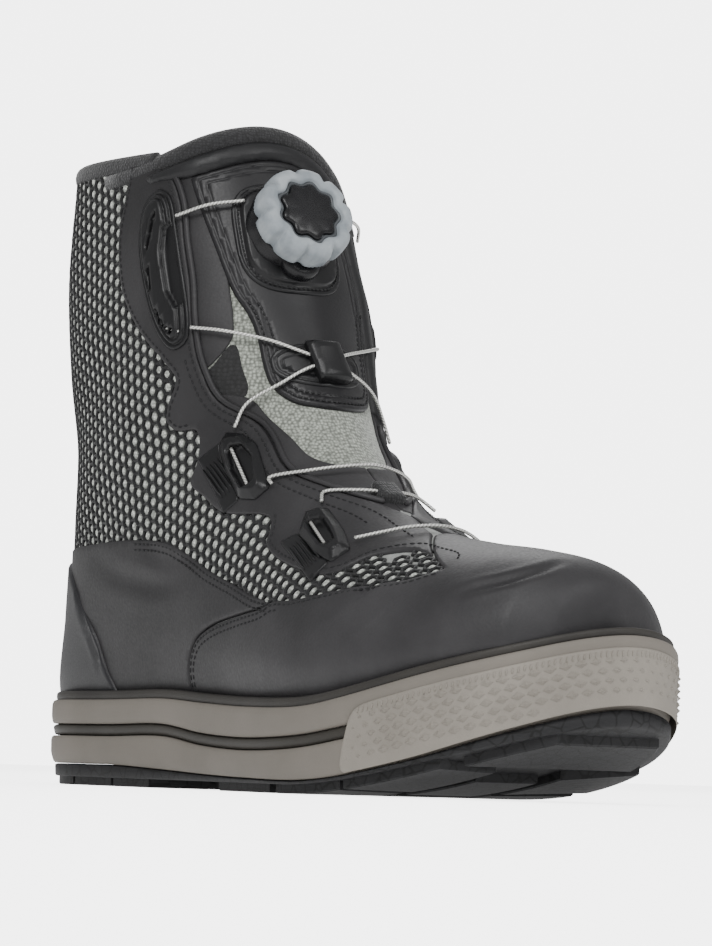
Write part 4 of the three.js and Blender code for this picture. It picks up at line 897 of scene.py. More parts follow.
# Throat rim
# The inner edge of both eyestays is rolled over a cord, which raises it into a round rim.
for side_name, side in SIDES:
    rim_run = [(x, z) for x, z in throat_line if 92 < z < 233]
    rim_seats = [on_side(x + 0.9, z + 0.5, side, 0.9) for x, z in rim_run]
    rim_seats = [s for s in rim_seats if s is not None and abs(s[1][1]) > 0.15]
    rim_path = curve([s[0] for s in rim_seats], np.linspace(0, 1, 160))
    dress(tube(f"throat_rim_{side_name}", rim_path, 1.25, 10), synthetic, "synthetic")


# Wings and gusset
# Smooth flaps run down both sides of the tongue under the eyestays, and a black elastic gusset joins
# them at the ankle.
wing_high = smooth([(82, 241), (96, 242), (106, 237), (112, 229), (117, 221), (120.5, 213), (124, 200),
                    (128, 186),
                    (131, 175), (132, 168), (129.5, 161), (124, 154.5), (117, 149)], 5)
WING_HIGH = closed(wing_high, [(104, 152), (96, 200), (82, 236)])
wing_low = smooth([(120, 144), (131, 146.5), (140, 145), (148, 138), (159, 129.5), (168, 122.5), (176, 119.5),
                   (184, 118.5), (191, 113.5), (198, 106), (207, 99), (216, 93)], 5)
WING_LOW = closed(wing_low, [(205, 88), (165, 100), (140, 126), (118, 135)])
GUSSET = smooth([(110, 148), (119, 151), (127, 157), (132.5, 166), (136, 157), (139, 146), (131, 141),
                 (120, 139),
                 (110, 144)], 5)
flap_profile = [(0.0, -0.7), (0.12, 0.05), (0.5, 0.35), (60.0, 0.45)]
elastic = woven_finish("black elastic", (0.003, 0.003, 0.003), (0.014, 0.014, 0.015), 0.0016, 0.0004)
for outline_name, outline, height, finish, slot in (
        ("gusset", GUSSET, [(0.0, -0.7), (0.6, -0.1), (60.0, 0.0)], elastic, "webbing"),
        ("wing_high", WING_HIGH, flap_profile, synthetic, "synthetic"),
        ("wing_low", WING_LOW, flap_profile, synthetic, "synthetic")):
    within = by_side(outline)
    for side_name, side in SIDES:
        flap = layer(f"{outline_name}_{side_name}",
                     np.minimum.reduce([within, half_of[side], under_crown - 2]), height)
        dress(flap, finish, slot)


# Net
# A black net of rounded six-sided cells lies over the knit at the sides of the shaft and along the foot.
# A light tuft of the knit stands in each cell.
def repeat_tree(name, shape, sizes):
    """A tree that sets one shape on every point, turned to the point's facing and heading."""
    tree = bpy.data.node_groups.new(name, "GeometryNodeTree")
    tree.interface.new_socket("Geometry", in_out="INPUT", socket_type="NodeSocketGeometry")
    for title, value in sizes:
        tree.interface.new_socket(title, in_out="INPUT", socket_type="NodeSocketFloat").default_value = value
    tree.interface.new_socket("Finish", in_out="INPUT", socket_type="NodeSocketMaterial")
    tree.interface.new_socket("Geometry", in_out="OUTPUT", socket_type="NodeSocketGeometry")
    start = add_node(tree, "NodeGroupInput")
    end = add_node(tree, "NodeGroupOutput")
    facing = add_node(tree, "GeometryNodeInputNamedAttribute", {"Name": "facing"}, data_type="FLOAT_VECTOR")
    heading = add_node(tree, "GeometryNodeInputNamedAttribute", {"Name": "heading"}, data_type="FLOAT_VECTOR")
    size = add_node(tree, "GeometryNodeInputNamedAttribute", {"Name": "size"}, data_type="FLOAT_VECTOR")
    turn = add_node(tree, "FunctionNodeAxesToRotation", {0: facing.outputs[0], 1: heading.outputs[0]},
                    primary_axis="Z", secondary_axis="X")
    places = add_node(tree, "GeometryNodeInstanceOnPoints", {
        "Points": start.outputs["Geometry"], "Instance": shape(tree, start), "Rotation": turn.outputs[0],
        "Scale": size.outputs[0]})
    real = add_node(tree, "GeometryNodeRealizeInstances", {"Geometry": places.outputs[0]})
    finished = add_node(tree, "GeometryNodeSetMaterial", {
        "Geometry": real.outputs[0], "Material": start.outputs["Finish"]})
    tree.links.new(finished.outputs[0], end.inputs["Geometry"])
    return tree


def repeat(name, tree, seats, headings, material, slot, sizes=None, scales=None, nodes=(), smooth_faces=True):
    """Sets the tree's shape on points of the boot and turns the result into a plain mesh."""
    mesh = bpy.data.meshes.new(name)
    mesh.from_pydata([((p + TO_FRAME) * MM).tolist() for p, _ in seats], [], [])
    scales = np.ones((len(seats), 3)) if scales is None else np.asarray(scales, float)
    for title, values in (("facing", [n for _, n in seats]), ("heading", headings), ("size", scales)):
        mesh.attributes.new(title, "FLOAT_VECTOR", "POINT").data.foreach_set(
            "vector", np.asarray(values, float).ravel())
    thing = bpy.data.objects.new(name, mesh)
    bpy.context.scene.collection.objects.link(thing)
    modifier = thing.modifiers.new("repeat", "NODES")
    modifier.node_group = tree
    sockets = {item.name: item.identifier for item in tree.interface.items_tree if item.in_out == "INPUT"}
    modifier[sockets["Finish"]] = material
    for title, value in (sizes or {}).items():
        modifier[sockets[title]] = value
    evaluated = thing.evaluated_get(bpy.context.evaluated_depsgraph_get())
    plain = bpy.data.meshes.new_from_object(evaluated)
    thing.modifiers.clear()
    thing.data = plain
    return dress(thing, material, slot, *nodes, smooth=smooth_faces)


def cell_ring(tree, start):
    """One cell of the net: a six-sided ring of flattened cord."""
    path = add_node(tree, "GeometryNodeCurvePrimitiveCircle",
                    {"Resolution": 6, "Radius": start.outputs["Cell"]},
                    mode="RADIUS")
    cord = add_node(tree, "GeometryNodeCurvePrimitiveCircle",
                    {"Resolution": 6, "Radius": start.outputs["Cord"]},
                    mode="RADIUS")
    ring = add_node(tree, "GeometryNodeCurveToMesh",
                    {"Curve": path.outputs[0], "Profile Curve": cord.outputs[0]})
    return ring.outputs[0]


def rounded_bar(tree, start):
    """A small rounded bar, such as a stitch or a tuft."""
    ball = add_node(tree, "GeometryNodeMeshUVSphere", {"Segments": 8, "Rings": 5, "Radius": 0.5})
    spread = add_node(tree, "ShaderNodeCombineXYZ", {
        "X": start.outputs["Length"], "Y": start.outputs["Width"], "Z": start.outputs["Height"]})
    bar = add_node(tree, "GeometryNodeTransform", {"Geometry": ball.outputs[0], "Scale": spread.outputs[0]})
    return bar.outputs[0]


net_tree = repeat_tree("net cell", cell_ring, [("Cell", 0.0028), ("Cord", 0.0007)])
bar_tree = repeat_tree("rounded bar", rounded_bar, [("Length", 0.002), ("Width", 0.0007), ("Height", 0.0005)])
net_black = moulded_finish("black net cord", (0.004, 0.004, 0.0045), (0.008, 0.008, 0.009), 0.6, 0.0004,
                           0.00008,
                           sheen=0.1)
tuft_knit = woven_finish("light knit tufts", (0.22, 0.235, 0.21), (0.78, 0.80, 0.74), 0.0011, 0.00025,
                         sheen=0.4)
CELL_PITCH = 4.9
probe_x = np.arange(-4, 270, 3.0)
probe_z = np.arange(36, 242, 3.0)


def net_seats(side):
    """The middles of the net's cells on one side, seated on the form."""
    depth = np.full((len(probe_z), len(probe_x)), np.nan)
    for i, z in enumerate(probe_z):
        for j, x in enumerate(probe_x):
            hit = on_side(x, z, side)
            if hit is not None:
                depth[i, j] = hit[0][1]
    seats, headings = [], []
    tilt = math.radians(7)
    step = CELL_PITCH * math.sqrt(3) / 2
    for column in range(-50, 60):
        for row in range(-40, 60):
            u = column * step
            v = (row + 0.5 * (column % 2)) * CELL_PITCH
            arc = u * math.cos(tilt) - v * math.sin(tilt)
            z = 130 + u * math.sin(tilt) + v * math.cos(tilt)
            if not 40 < z < 237:
                continue
            line = depth[int(round((z - probe_z[0]) / 3.0)) if z < probe_z[-1] else -1]
            known = ~np.isnan(line)
            if known.sum() < 5:
                continue
            xs, ys = probe_x[known], line[known]
            arcs = np.concatenate([[0], np.cumsum(np.hypot(np.diff(xs), np.diff(ys)))])
            arcs -= np.interp(70, xs, arcs)
            if not arcs[0] < arc < arcs[-1]:
                continue
            x = np.interp(arc, arcs, xs)
            hit = on_side(x, z, side, 0.35)
            if hit is None or (abs(hit[0][1] + 1) < 25 and x < 80) or z < rim_at(x) + 6:
                continue
            seats.append(hit)
            headings.append((math.cos(tilt), 0, math.sin(tilt)))
    places = np.array([s[0][[0, 2]] for s in seats])
    shown = np.maximum.reduce([inside_by(outline, places) for outline in (EYESTAY, HEEL_PANEL,
                                                                          TOE_PANEL)]) < 2.6
    shown &= inside_by(THROAT, places) < -9
    return [s for s, keep in zip(seats, shown) if keep], [h for h, keep in zip(headings, shown) if keep]


for side_name, side in SIDES:
    cells, cell_headings = net_seats(side)
    repeat(f"net_{side_name}", net_tree, cells, cell_headings, net_black, "mesh_fabric",
           sizes={"Cell": CELL_PITCH / math.sqrt(3) * MM, "Cord": 0.00078})
    tuft_seats = [(p - n * 0.55, n) for p, n in cells]
    repeat(f"tufts_{side_name}", bar_tree, tuft_seats, cell_headings, tuft_knit, "mesh_fabric",
           sizes={"Length": 0.0031, "Width": 0.0036, "Height": 0.0021})


# Cable guides
# Black moulded plastic guides sewn on the eyestays. The long upper one has ridges all round and slots in
# its face; the two lower ones are bevelled blocks, each with a ribbed pad beside it.
guide_plastic = moulded_finish("black moulded plastic", (0.0050, 0.0050, 0.0056), (0.0085, 0.0085, 0.0093),
                               0.36, 0.0005,
                               0.00002)
ridged = [(0.0, 1.2), (0.1, 2.2), (0.5, 2.6), (1.3, 2.6), (1.7, 2.0), (2.1, 2.6), (2.3, 3.4), (3.1, 3.6),
          (3.5, 2.9),
          (3.9, 3.6), (4.1, 4.4), (5.0, 4.9), (60.0, 5.1)]
bevelled = [(0.0, 1.2), (0.1, 2.2), (0.6, 2.7), (2.6, 4.6), (3.0, 5.0), (60.0, 5.4)]
slotted = [(-0.3, 5.2), (0.1, 3.4), (0.6, 2.0), (60.0, 1.9)]
UPPER_BODY = outline_of(((0.306, 0.944), (0.322, 0.930), (0.341, 0.859), (0.361, 0.768), (0.376, 0.681),
                         (0.375, 0.648),
                         (0.358, 0.635), (0.328, 0.676), (0.297, 0.772), (0.279, 0.859), (0.284, 0.920)))
upper_slots = [
    outline_of(((0.324, 0.872), (0.333, 0.874), (0.340, 0.850), (0.367, 0.722), (0.360, 0.708), (0.343, 0.744),
                (0.327, 0.820))),
    outline_of(((0.306, 0.902), (0.313, 0.894), (0.310, 0.818), (0.303, 0.830))),
    outline_of(((0.308, 0.796), (0.315, 0.794), (0.324, 0.742), (0.317, 0.742))),
    outline_of(((0.324, 0.716), (0.331, 0.716), (0.350, 0.678), (0.362, 0.671), (0.358, 0.661),
                (0.340, 0.674)))]
MID_BODY = outline_of(((0.434, 0.479), (0.455, 0.475), (0.475, 0.457), (0.501, 0.406), (0.518, 0.372),
                       (0.506, 0.351),
                       (0.481, 0.354), (0.448, 0.406), (0.429, 0.454)))
mid_slot = outline_of(((0.444, 0.448), (0.462, 0.452), (0.480, 0.430), (0.500, 0.382), (0.486, 0.368),
                       (0.462, 0.404)))
MID_PAD = outline_of(((0.401, 0.432), (0.437, 0.468), (0.494, 0.367), (0.462, 0.329)))
LOW_BODY = outline_of(((0.580, 0.326), (0.600, 0.330), (0.642, 0.289), (0.675, 0.252), (0.666, 0.230),
                       (0.634, 0.244),
                       (0.592, 0.283)))
low_slot = outline_of(((0.594, 0.302), (0.610, 0.306), (0.634, 0.282), (0.652, 0.262), (0.644, 0.252),
                       (0.616, 0.276)))
LOW_PAD = outline_of(((0.570, 0.271), (0.600, 0.293), (0.668, 0.245), (0.654, 0.197)))


for guide, body, slots, pad, ribs in (
        ("guide_upper", UPPER_BODY, upper_slots, None, None),
        ("guide_mid", MID_BODY, [mid_slot], MID_PAD, ((128, 128), (147, 112))),
        ("guide_low", LOW_BODY, [low_slot], LOW_PAD, ((181, 93), (203, 76)))):
    in_body = by_side(smooth(body + body[:1], 4)[:-1] if guide == "guide_upper" else body)
    slot_fields = [(by_side(slot), slotted) for slot in slots]
    in_pad = by_side(pad) if pad else None
    for side_name, side in SIDES:
        block = layer(f"{guide}_block_{side_name}", np.minimum(in_body, half_of[side]),
                      ridged if guide == "guide_upper" else bevelled, cuts=slot_fields)
        dress(block, guide_plastic, "guide_plastic", f"{guide}_{side_name}")
        if pad:
            plate_area = np.minimum.reduce([in_pad, half_of[side], 0.2 - in_body])
            plate_piece = layer(f"{guide}_pad_{side_name}", plate_area,
                                [(0.0, 1.2), (0.1, 1.9), (0.5, 2.2), (60.0, 2.3)])
            dress(plate_piece, guide_plastic, "guide_plastic", f"{guide}_{side_name}")
            (sx, sz), (ex, ez) = ribs
            long_way = np.array([ex - sx, ez - sz]) / math.hypot(ex - sx, ez - sz)
            near_end, far_end = (np.array(pad[0]) + pad[3]) / 2, (np.array(pad[1]) + pad[2]) / 2
            rib_seats, rib_headings = [], []
            for k in range(5):
                place = near_end + (far_end - near_end) * (0.10 + 0.13 * k)
                hit = on_side(place[0], place[1], side, 2.3)
                if hit is None:
                    continue
                rib_seats.append(hit)
                rib_headings.append((long_way[0], 0, long_way[1]))
            repeat(f"{guide}_ribs_{side_name}", bar_tree, rib_seats, rib_headings, guide_plastic,
                   "guide_plastic",
                   sizes={"Length": 0.018, "Width": 0.0011, "Height": 0.0016})


# Dial
# A round housing stands on a flange that is sewn to the tongue. A pale blue-grey rubber ring with nine
# deep grips turns on it, round a black toothed cap.
housing = moulded_finish("black dial housing", (0.004, 0.004, 0.005), (0.007, 0.007, 0.008), 0.28, 0.0004,
                         0.00001)
ring_rubber = moulded_finish("blue-grey dial rubber", (0.19, 0.215, 0.235), (0.36, 0.39, 0.41), 0.5, 0.0008,
                             0.00006,
                             cloud_size=0.008)
inner_plastic = moulded_finish("grey dial plastic", (0.05, 0.055, 0.06), (0.08, 0.086, 0.092), 0.35, 0.0008,
                               0.00002,
                               cloud_size=0.01)
DIAL_STAND = 5.8
DIAL_Y = -6.0
dial_seat = on_front(DIAL_Y, 210.5, PANEL)[0]
dial_tilt, dial_turn = math.radians(21.5), math.radians(8)
dial_out = np.array([math.cos(dial_tilt) * math.cos(dial_turn), -math.cos(dial_tilt) * math.sin(dial_turn),
                     math.sin(dial_tilt)])
dial_across = np.cross((0, 0, 1), dial_out)
dial_across /= np.linalg.norm(dial_across)
dial_up = np.cross(dial_out, dial_across)


def lathe(name, rows, steps=216):
    """A turned body on the dial's axis from rows of (radius at angle, height at angle), low to high."""
    angles = 2 * np.pi * np.arange(steps) / steps
    rings = []
    for radius, height in rows:
        r = radius(angles) if callable(radius) else np.full(steps, float(radius))
        h = height(angles) if callable(height) else np.full(steps, float(height))
        rings.append(dial_seat + dial_out * h[:, None] + r[:, None] * (
            dial_across * np.cos(angles)[:, None] + dial_up * np.sin(angles)[:, None]))
    k = np.arange(steps)
    faces = []
    for i in range(len(rows) - 1):
        a, b = i * steps, (i + 1) * steps
        faces += np.column_stack([a + k, a + (k + 1) % steps, b + (k + 1) % steps, b + k]).tolist()
    faces.append(list(range(steps))[::-1])
    faces.append([(len(rows) - 1) * steps + int(j) for j in k])
    return make(name, np.vstack(rings), faces)


notch = lambda a, depth, wide: depth * np.exp(-(((a * 9 / (2 * np.pi)) % 1 - 0.5) * 40 / 9 / wide) ** 2)
grip = lambda r, depth: (lambda a: r - notch(a, depth, 0.55) - 0.12 * np.cos(72 * a) * (r > 18.5))
star = lambda r, swell: (lambda a: r + swell * np.cos(9 * a + 0.4))
ring_piece = lathe("dial_ring", [
    (16.8, DIAL_STAND), (grip(18.4, 1.8), DIAL_STAND + 0.2), (grip(19.2, 2.2), DIAL_STAND + 1.4),
    (grip(19.25, 2.4), DIAL_STAND + 4.5), (grip(19.1, 2.4), DIAL_STAND + 7.4),
    (grip(18.3, 2.3), DIAL_STAND + 9.4),
    (grip(17.0, 1.8), DIAL_STAND + 10.6), (grip(15.4, 0.9), DIAL_STAND + 11.1),
    (star(13.8, 0.5), DIAL_STAND + 11.0),
    (star(13.0, 0.8), DIAL_STAND + 10.4), (star(12.7, 0.9), DIAL_STAND + 8.6)])
dress(ring_piece, ring_rubber, "dial_ring", "dial_knob")
inner_piece = lathe("dial_inner", [
    (12.6, DIAL_STAND + 4), (star(13.2, 0.8), DIAL_STAND + 8.4), (star(12.4, 0.9), DIAL_STAND + 9.7),
    (star(11.6, 0.9), DIAL_STAND + 9.6), (10.8, DIAL_STAND + 8.0)])
dress(inner_piece, inner_plastic, "dial_ring")
cap_piece = lathe("dial_cap_toothed", [
    (10.0, DIAL_STAND + 6), (star(11.2, 0.9), DIAL_STAND + 8.0), (star(11.1, 0.9), DIAL_STAND + 9.9),
    (star(10.6, 0.8), DIAL_STAND + 10.4), (9.0, DIAL_STAND + 10.6), (4.0, DIAL_STAND + 10.7)])
dress(cap_piece, housing, "dial_housing", "dial_cap")
facet = lambda r, depth: (lambda a: r - depth * np.abs(np.sin(4 * a + 0.3)) ** 3)
pod_piece = lathe("dial_pod", [
    (18.9, -9.0), (facet(18.9, 0.5), -2.0), (facet(18.6, 0.6), 1.8), (facet(18.0, 0.6), 3.0),
    (facet(17.4, 0.4), 4.4),
    (16.6, 5.2), (15.6, 5.5), (14.0, 5.7)])
dress(pod_piece, housing, "dial_housing", "dial_base")
rounded = lambda cy, cz, wide, high, power: [
    (cy + wide * np.sign(math.cos(a)) * abs(math.cos(a)) ** power,
     cz + high * np.sign(math.sin(a)) * abs(math.sin(a)) ** power)
    for a in np.linspace(0, 2 * np.pi, 73)[:-1]]
on_flange = np.minimum(by_front(rounded(DIAL_Y, 207, 20.9, 21.6, 0.62)), facing_front)
flange_piece = layer("dial_flange", on_flange, [
    (0.0, 0.9), (0.1, 1.8), (0.5, 2.2), (1.4, 2.3), (1.8, 1.9), (2.2, 2.3), (3.4, 2.4), (3.7, 3.4),
    (4.3, 3.9), (60.0, 4.1)])
dress(flange_piece, guide_plastic, "dial_housing", "dial_base")
tab = lathe("dial_tab", [(8.0, -6.0), (8.0, 3.4), (7.4, 5.0), (5.5, 5.6)], steps=48)
shift = Vector(((dial_up * -14.5) * MM).tolist())
tab.data.transform(Matrix.Translation(shift))
dress(tab, housing, "dial_housing", "dial_base")


# Keeper and tongue loop
# Below the dial the cable crosses under a moulded strap on an oval base. Lower down it runs through a
# short webbing loop.
in_keeper_base = np.minimum(by_front(rounded(-3.0, 157.8, 18.0, 8.4, 0.8)), facing_front)
keeper_base = layer("keeper_base", in_keeper_base, [
    (0.0, 1.1), (0.1, 1.8), (0.5, 2.1), (1.5, 2.1), (1.9, 1.7), (2.3, 2.1), (4.0, 2.1), (4.3, 1.7),
    (60.0, 1.6)])
dress(keeper_base, guide_plastic, "guide_plastic", "keeper")
in_keeper = np.minimum(by_front([(-9.6, 166.2), (2.2, 166.2), (4.8, 150.8), (-7.0, 150.8)]), facing_front)
keeper_strap = layer("keeper_strap", in_keeper, [(0.0, 1.4), (0.05, 4.6), (0.4, 5.6), (1.2, 6.2), (3.0, 6.6),
                                                 (60.0, 6.8)])
dress(keeper_strap, guide_plastic, "guide_plastic", "keeper")
in_loop = np.minimum(by_front([(-8.0, 111.0), (1.6, 111.0), (1.6, 104.6), (-8.0, 104.6)]), facing_front)
loop_piece = layer("tongue_loop_webbing", in_loop, [(0.0, -0.6), (0.05, 2.4), (0.4, 3.3), (1.2, 3.8),
                                                    (60.0, 4.1)])
dress(loop_piece, tape, "webbing", "tongue_loop")


# Cable
# Stranded steel cable, 1.5 mm thick, tight from the dial through the guides on both sides and back across
# the tongue.
cable_steel = bpy.data.materials.new("stranded steel cable")
cable_steel.use_nodes = True
cable_tree = cable_steel.node_tree
cable_shader = cable_tree.nodes["Principled BSDF"]
cable_uv = add_node(cable_tree, "ShaderNodeUVMap", uv_map="surface")
cable_map = add_node(cable_tree, "ShaderNodeMapping", {"Vector": cable_uv.outputs[0], "Rotation": (0, 0, 0.6)})
strands = add_node(cable_tree, "ShaderNodeTexWave", {
    "Vector": cable_map.outputs[0], "Scale": 260.0, "Distortion": 0.0}, wave_type="BANDS", bands_direction="Y")
# Painted shade between the strands: the steel's colour is darker in the grooves and lighter on the strands.
strand_painted_shade = add_node(cable_tree, "ShaderNodeMix", {
    0: strands.outputs["Fac"], 6: (0.34, 0.34, 0.32, 1), 7: (0.72, 0.72, 0.69, 1)}, data_type="RGBA")
cable_bump = add_node(cable_tree, "ShaderNodeBump", {"Height": strands.outputs["Fac"], "Strength": 0.6,
                                                     "Distance": 0.00015})
cable_tree.links.new(strand_painted_shade.outputs[2], cable_shader.inputs["Base Color"])
cable_tree.links.new(cable_bump.outputs[0], cable_shader.inputs["Normal"])
cable_shader.inputs["Roughness"].default_value = 0.35
cable_shader.inputs["Metallic"].default_value = 0.6
CABLE_OUT = 3.3
up_at = lambda up: SOLE_HEIGHT + up * SHAFT_RISE
lay_side = lambda along, up, side, out=CABLE_OUT: on_side(along * LENGTH, up_at(up), side, out)[0]
lay_front = lambda place, up, out=CABLE_OUT: on_front(place * GIRTH["leg"], up_at(up), out)[0]


def cable(name, points, *nodes):
    """A stretch of the cable through the given points."""
    path = curve(points, np.linspace(0, 1, 10 * len(points)))
    return dress(tube(name, path, 0.66, 10), cable_steel, "cable", *nodes)


CROSS_AT = -0.03
for side_name, side in SIDES:
    edge = (DIAL_Y + side * 16) / GIRTH["leg"]
    cable(f"cable_dial_{side_name}", [
        lay_front(edge, 0.911, 4.6), lay_front(side * 0.345, 0.902, 4.4),
        lay_side(0.3395, 0.884, side, 4.0)], f"lace_dial_{side_name}")
    cable(f"cable_cross_{side_name}", [
        lay_side(0.380, 0.674, side, 3.4), lay_front(side * 0.36, 0.667), lay_front(side * 0.22, 0.650, 3.6),
        lay_front(CROSS_AT + side * 0.085, 0.629, 3.7), lay_front(CROSS_AT, 0.612, 3.9),
        lay_front(CROSS_AT - side * 0.085, 0.595, 3.7), lay_front(side * -0.20, 0.568, 3.6),
        lay_front(side * -0.31, 0.528), lay_side(0.446, 0.4835, -side, 3.8)], "lace_cross")
    for inner, ends in (("upper", ((0.348, 0.676), (0.366, 0.668))), ("mid", ((0.450, 0.446), (0.490, 0.376))),
                        ("low", ((0.600, 0.300), (0.644, 0.256)))):
        first, last = (lay_side(*end, side, 3.0) for end in ends)
        cable(f"cable_inside_{inner}_{side_name}", [first + (last - first) * k / 3 for k in range(4)])
middle_place = -3.0 / GIRTH["leg"]
for bar, end, run, out in (
        ("mid", (0.5225, 0.374), ((0.31, 0.386), (0.21, 0.397), (0.11, 0.404), (0, 0.408)), CABLE_OUT + 0.8),
        ("loop", (0.5915, 0.336), ((0.22, 0.358), (0.12, 0.364), (0, 0.365)), 2.0),
        ("low", (0.6715, 0.265), ((0.21, 0.277), (0.11, 0.288), (0, 0.292)), CABLE_OUT)):
    halves = {}
    for _, side in SIDES:
        halves[side] = [lay_side(*end, side, 3.9)] + [
            lay_front(middle_place + side * place, up, CABLE_OUT + (out - CABLE_OUT) * (i + 1) / len(run))
            for i, (place, up) in enumerate(run)]
    cable(f"cable_bar_{bar}", halves[-1] + halves[1][::-1][1:], f"lace_bar_{bar}")


# Stitching
# Black thread in single and double lines along the panels, the tongue panel and the dial's flange. Each
# stitch lies in the surface and pulls it in a little.
thread = moulded_finish("black thread", (0.008, 0.008, 0.009), (0.018, 0.018, 0.019), 0.7, 0.0003, 0.00005)


def beside(run, shift):
    """The run, moved sideways in its plane."""
    run = np.asarray(run, float)
    along = np.gradient(run, axis=0)
    along /= np.maximum(np.linalg.norm(along, axis=1), 1e-9)[:, None]
    return run + np.column_stack([-along[:, 1], along[:, 0]]) * shift


def stitch_line(run, find, pitch=2.7):
    """Even places along a run, with the direction to the next one."""
    seats = [find(a, b) for a, b in curve(run, np.linspace(0, 1, 14 * len(run)))]
    seats = [s for s in seats if s is not None]
    points = np.array([s[0] for s in seats])
    steps = np.linalg.norm(np.diff(points, axis=0), axis=1)
    length = np.concatenate([[0], np.cumsum(np.where(steps > 6, 0, steps))])
    picks = np.searchsorted(length, np.arange(pitch / 2, length[-1], pitch))
    picks = picks[(picks > 0) & (picks < len(points) - 1)]
    return [seats[i] for i in picks], [points[i + 1] - points[i - 1] for i in picks]


for side_name, side in SIDES:
    stitch_seats, stitch_ways = [], []
    for run, shift, out, wanted in (
            (rand_line, -1.7, PANEL_TOP, None), (rand_line, -3.9, PANEL_TOP, lambda x, z: x < 195),
            (heel_line[10:], -1.7, PANEL_TOP, None), (heel_line[10:], -3.9, PANEL_TOP, None),
            (eyestay_line, 2.0, PANEL_TOP, lambda x, z: z < 236 and not 120 < x < 172 and x < 262),
            (throat_line, -2.0, PANEL_TOP, lambda x, z: z < 236),
            (throat_line, -4.6, PANEL_TOP, lambda x, z: 96 < z < 160)):
        places, ways = stitch_line(beside(run, shift),
                                   lambda x, z: on_side(x, z, side, out) if z < 237 else None)
        for place, way in zip(places, ways):
            x, z = place[0][0], place[0][2]
            if abs(place[1][1]) > 0.25 and (wanted is None or wanted(x, z)):
                stitch_seats.append((place[0], place[1]))
                stitch_ways.append(way)
    repeat(f"stitches_{side_name}", bar_tree, stitch_seats, stitch_ways, thread, "webbing",
           sizes={"Length": 0.0021, "Width": 0.0009, "Height": 0.0007})
front_seats, front_ways = [], []
for run, out in ((beside(panel_edge, 2.4), 1.35), (beside(panel_edge, 5.0), 1.35)):
    for flip in (1, -1):
        line = run * [flip, 1]
        places, ways = stitch_line(line[line[:, 1] < 183], lambda y, z: on_front(y, z, out), 2.2)
        front_seats += places
        front_ways += ways
flange_run = np.array(rounded(DIAL_Y, 207, 18.8, 19.5, 0.62))
places, ways = stitch_line(np.vstack([flange_run, flange_run[:1]]), lambda y, z: on_front(y, z, 2.4), 1.9)
repeat("stitches_tongue", bar_tree, front_seats + places, front_ways + ways, thread, "webbing",
       sizes={"Length": 0.0017, "Width": 0.0009, "Height": 0.0007})


# Toe bumper
# A grey rubber guard is moulded round the toe over the two foam layers. Short ticks run along its top
# edge and rows of small raised diamonds fade out towards its ends.
bumper_grey = moulded_finish("grey bumper rubber", (0.200, 0.183, 0.158), (0.250, 0.230, 0.200), 0.66, 0.0007,
                             0.00012)
WALL_ROWS = 90
wall_x = PLAN[:, 0]
wall_z = frame_at(wall_x)[:, None] + np.linspace(0, 1, WALL_ROWS) * (rim_at(wall_x) - frame_at(wall_x))[:,
                                                                                                        None]
wall_arc = np.concatenate([[0], np.cumsum(np.linalg.norm(np.diff(PLAN, axis=0), axis=1))])
wall_wrap = np.append(np.arange(len(PLAN)), 0)
WALL_GRID = np.concatenate([
    PLAN[wall_wrap][:, None].repeat(WALL_ROWS, 1), wall_z[wall_wrap][..., None],
    PLAN_OUT[wall_wrap][:, None].repeat(WALL_ROWS, 1), np.zeros((len(wall_wrap), WALL_ROWS, 1)),
    np.append(wall_arc, wall_arc[-1] + 1)[:, None, None].repeat(WALL_ROWS, 1), wall_z[wall_wrap][..., None]],
    axis=2).reshape(-1, 8)
at = (np.arange(len(PLAN))[:, None] * WALL_ROWS + np.arange(WALL_ROWS - 1)[None]).ravel()
WALL_FACES = np.vstack([np.column_stack([at, at + WALL_ROWS, at + WALL_ROWS + 1]),
                        np.column_stack([at, at + WALL_ROWS + 1, at + 1])])
BUMPER_DROP = 4.3
soft_min = lambda *fields: -np.log(sum(np.exp(-0.45 * f) for f in fields)) / 0.45
bumper_lean = 0.24
in_bumper = soft_min(rim_at(WALL_GRID[:, 0]) - BUMPER_DROP - WALL_GRID[:, 2],
                     WALL_GRID[:, 0] - BUMPER_FROM + (12 - WALL_GRID[:, 2]) * bumper_lean,
                     WALL_GRID[:, 2] - frame_at(WALL_GRID[:, 0]) + 0.6)
bumper = layer("toe_guard", in_bumper, [(0.0, -2.4), (0.15, -0.6), (0.5, 0.05), (1.1, 0.3), (60.0, 0.35)],
               base=(WALL_GRID, WALL_FACES))
dress(bumper, bumper_grey, "bumper_rubber", "toe_bumper")


def diamond(tree, start):
    """A low four-sided point."""
    point = add_node(tree, "GeometryNodeMeshCone", {
        "Vertices": 4, "Radius Top": 0.0, "Radius Bottom": 0.5, "Depth": 1.0}, fill_type="NONE")
    spread = add_node(tree, "ShaderNodeCombineXYZ", {
        "X": start.outputs["Length"], "Y": start.outputs["Width"], "Z": start.outputs["Height"]})
    return add_node(tree, "GeometryNodeTransform",
                    {"Geometry": point.outputs[0], "Scale": spread.outputs[0]}).outputs[0]


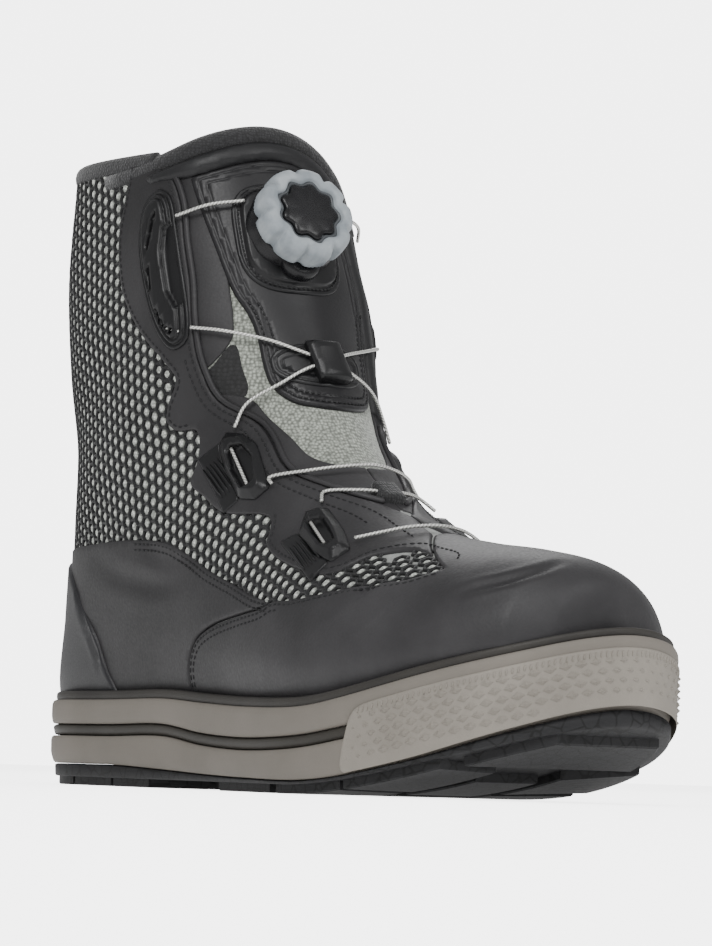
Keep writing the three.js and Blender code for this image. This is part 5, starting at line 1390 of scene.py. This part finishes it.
diamond_tree = repeat_tree("raised diamond", diamond,
                           [("Length", 0.004), ("Width", 0.002), ("Height", 0.0006)])
wall_at = lambda arc: (np.array([np.interp(arc, wall_arc, PLAN[:, k]) for k in (0, 1)]),
                       np.array([np.interp(arc, wall_arc, PLAN_OUT[:, k]) for k in (0, 1)]))
relief_seats, relief_ways, relief_sizes, tick_seats, tick_ways = [], [], [], [], []
for step, arc in enumerate(np.arange(wall_arc[0], wall_arc[-1], 2.6)):
    (x, y), (nx, ny) = wall_at(arc)
    if x < BUMPER_FROM + 3:
        continue
    fade = min(1.0, (x - BUMPER_FROM - 3) / 16) * (0.35 + 0.65 * min(1.0, abs(y - 20) / 30))
    facing = np.array([nx, ny, 0]) / math.hypot(nx, ny)
    ahead_x = wall_at(arc + 1)[0]
    slope = rim_at(ahead_x[0]) - rim_at(x)
    way = np.array([ahead_x[0] - x, ahead_x[1] - y, slope])
    for row in range(5):
        if (step + row) % 2:
            continue
        z = rim_at(x) - BUMPER_DROP - 4.6 - row * 3.3
        if z < frame_at(x) + 3:
            continue
        relief_seats.append((np.array([x, y, z]) + facing * 0.35, facing))
        relief_ways.append(way)
        relief_sizes.append([fade, fade, 0.6 * fade + 0.1])
for arc in np.arange(wall_arc[0], wall_arc[-1], 2.0):
    (x, y), (nx, ny) = wall_at(arc)
    if x < BUMPER_FROM + 7:
        continue
    facing = np.array([nx, ny, 0]) / math.hypot(nx, ny)
    tick_seats.append((np.array([x, y, rim_at(x) - BUMPER_DROP - 2.3]) + facing * 0.3, facing))
    tick_ways.append((0.15 * -ny, 0.15 * nx, 1))
repeat("toe_guard_diamonds", diamond_tree, relief_seats, relief_ways, bumper_grey, "bumper_rubber",
       sizes={"Length": 0.0048, "Width": 0.0027, "Height": 0.0017}, scales=relief_sizes, smooth_faces=False)
repeat("toe_guard_ticks", bar_tree, tick_seats, tick_ways, bumper_grey, "bumper_rubber",
       sizes={"Length": 0.0023, "Width": 0.0008, "Height": 0.0010})


# Pull loop
# A folded black webbing loop is sewn over the back of the collar.
back_out = on_back(0, 236)[0][0]
loop_line = [(back_out - 2.4, 222), (back_out - 2.5, 232), (back_out - 2.3, 240), (back_out - 0.2, 245.4),
             (back_out + 2.2, 245.6), (back_out + 4.6, 240), (back_out + 5.0, 230), (back_out + 5.0, 224)]
pull_path = [(x, 0, z) for x, z in curve(loop_line, np.linspace(0, 1, 50))]
pull = tube("pull_webbing", pull_path, 7.5, 20, flat=0.1, facings=[(0, 1, 0)] * 50)
dress(pull, tape, "webbing", "pull_loop")


# Footbed
# A black textile footbed lies on the turned-in edge of the upper.
footbed_cloth = woven_finish("footbed cloth", (0.010, 0.010, 0.011), (0.035, 0.035, 0.037), 0.0009, 0.0003)
underside = np.minimum(rim_at(FORM[:, 0]) + 4 - FORM[:, 2], -FORM[:, 5] * 30)
footbed = layer("footbed", underside, [(0.0, -3.0), (60.0, -4.0)])
footbed.data.flip_normals()
dress(footbed, footbed_cloth, "footbed", "insole")
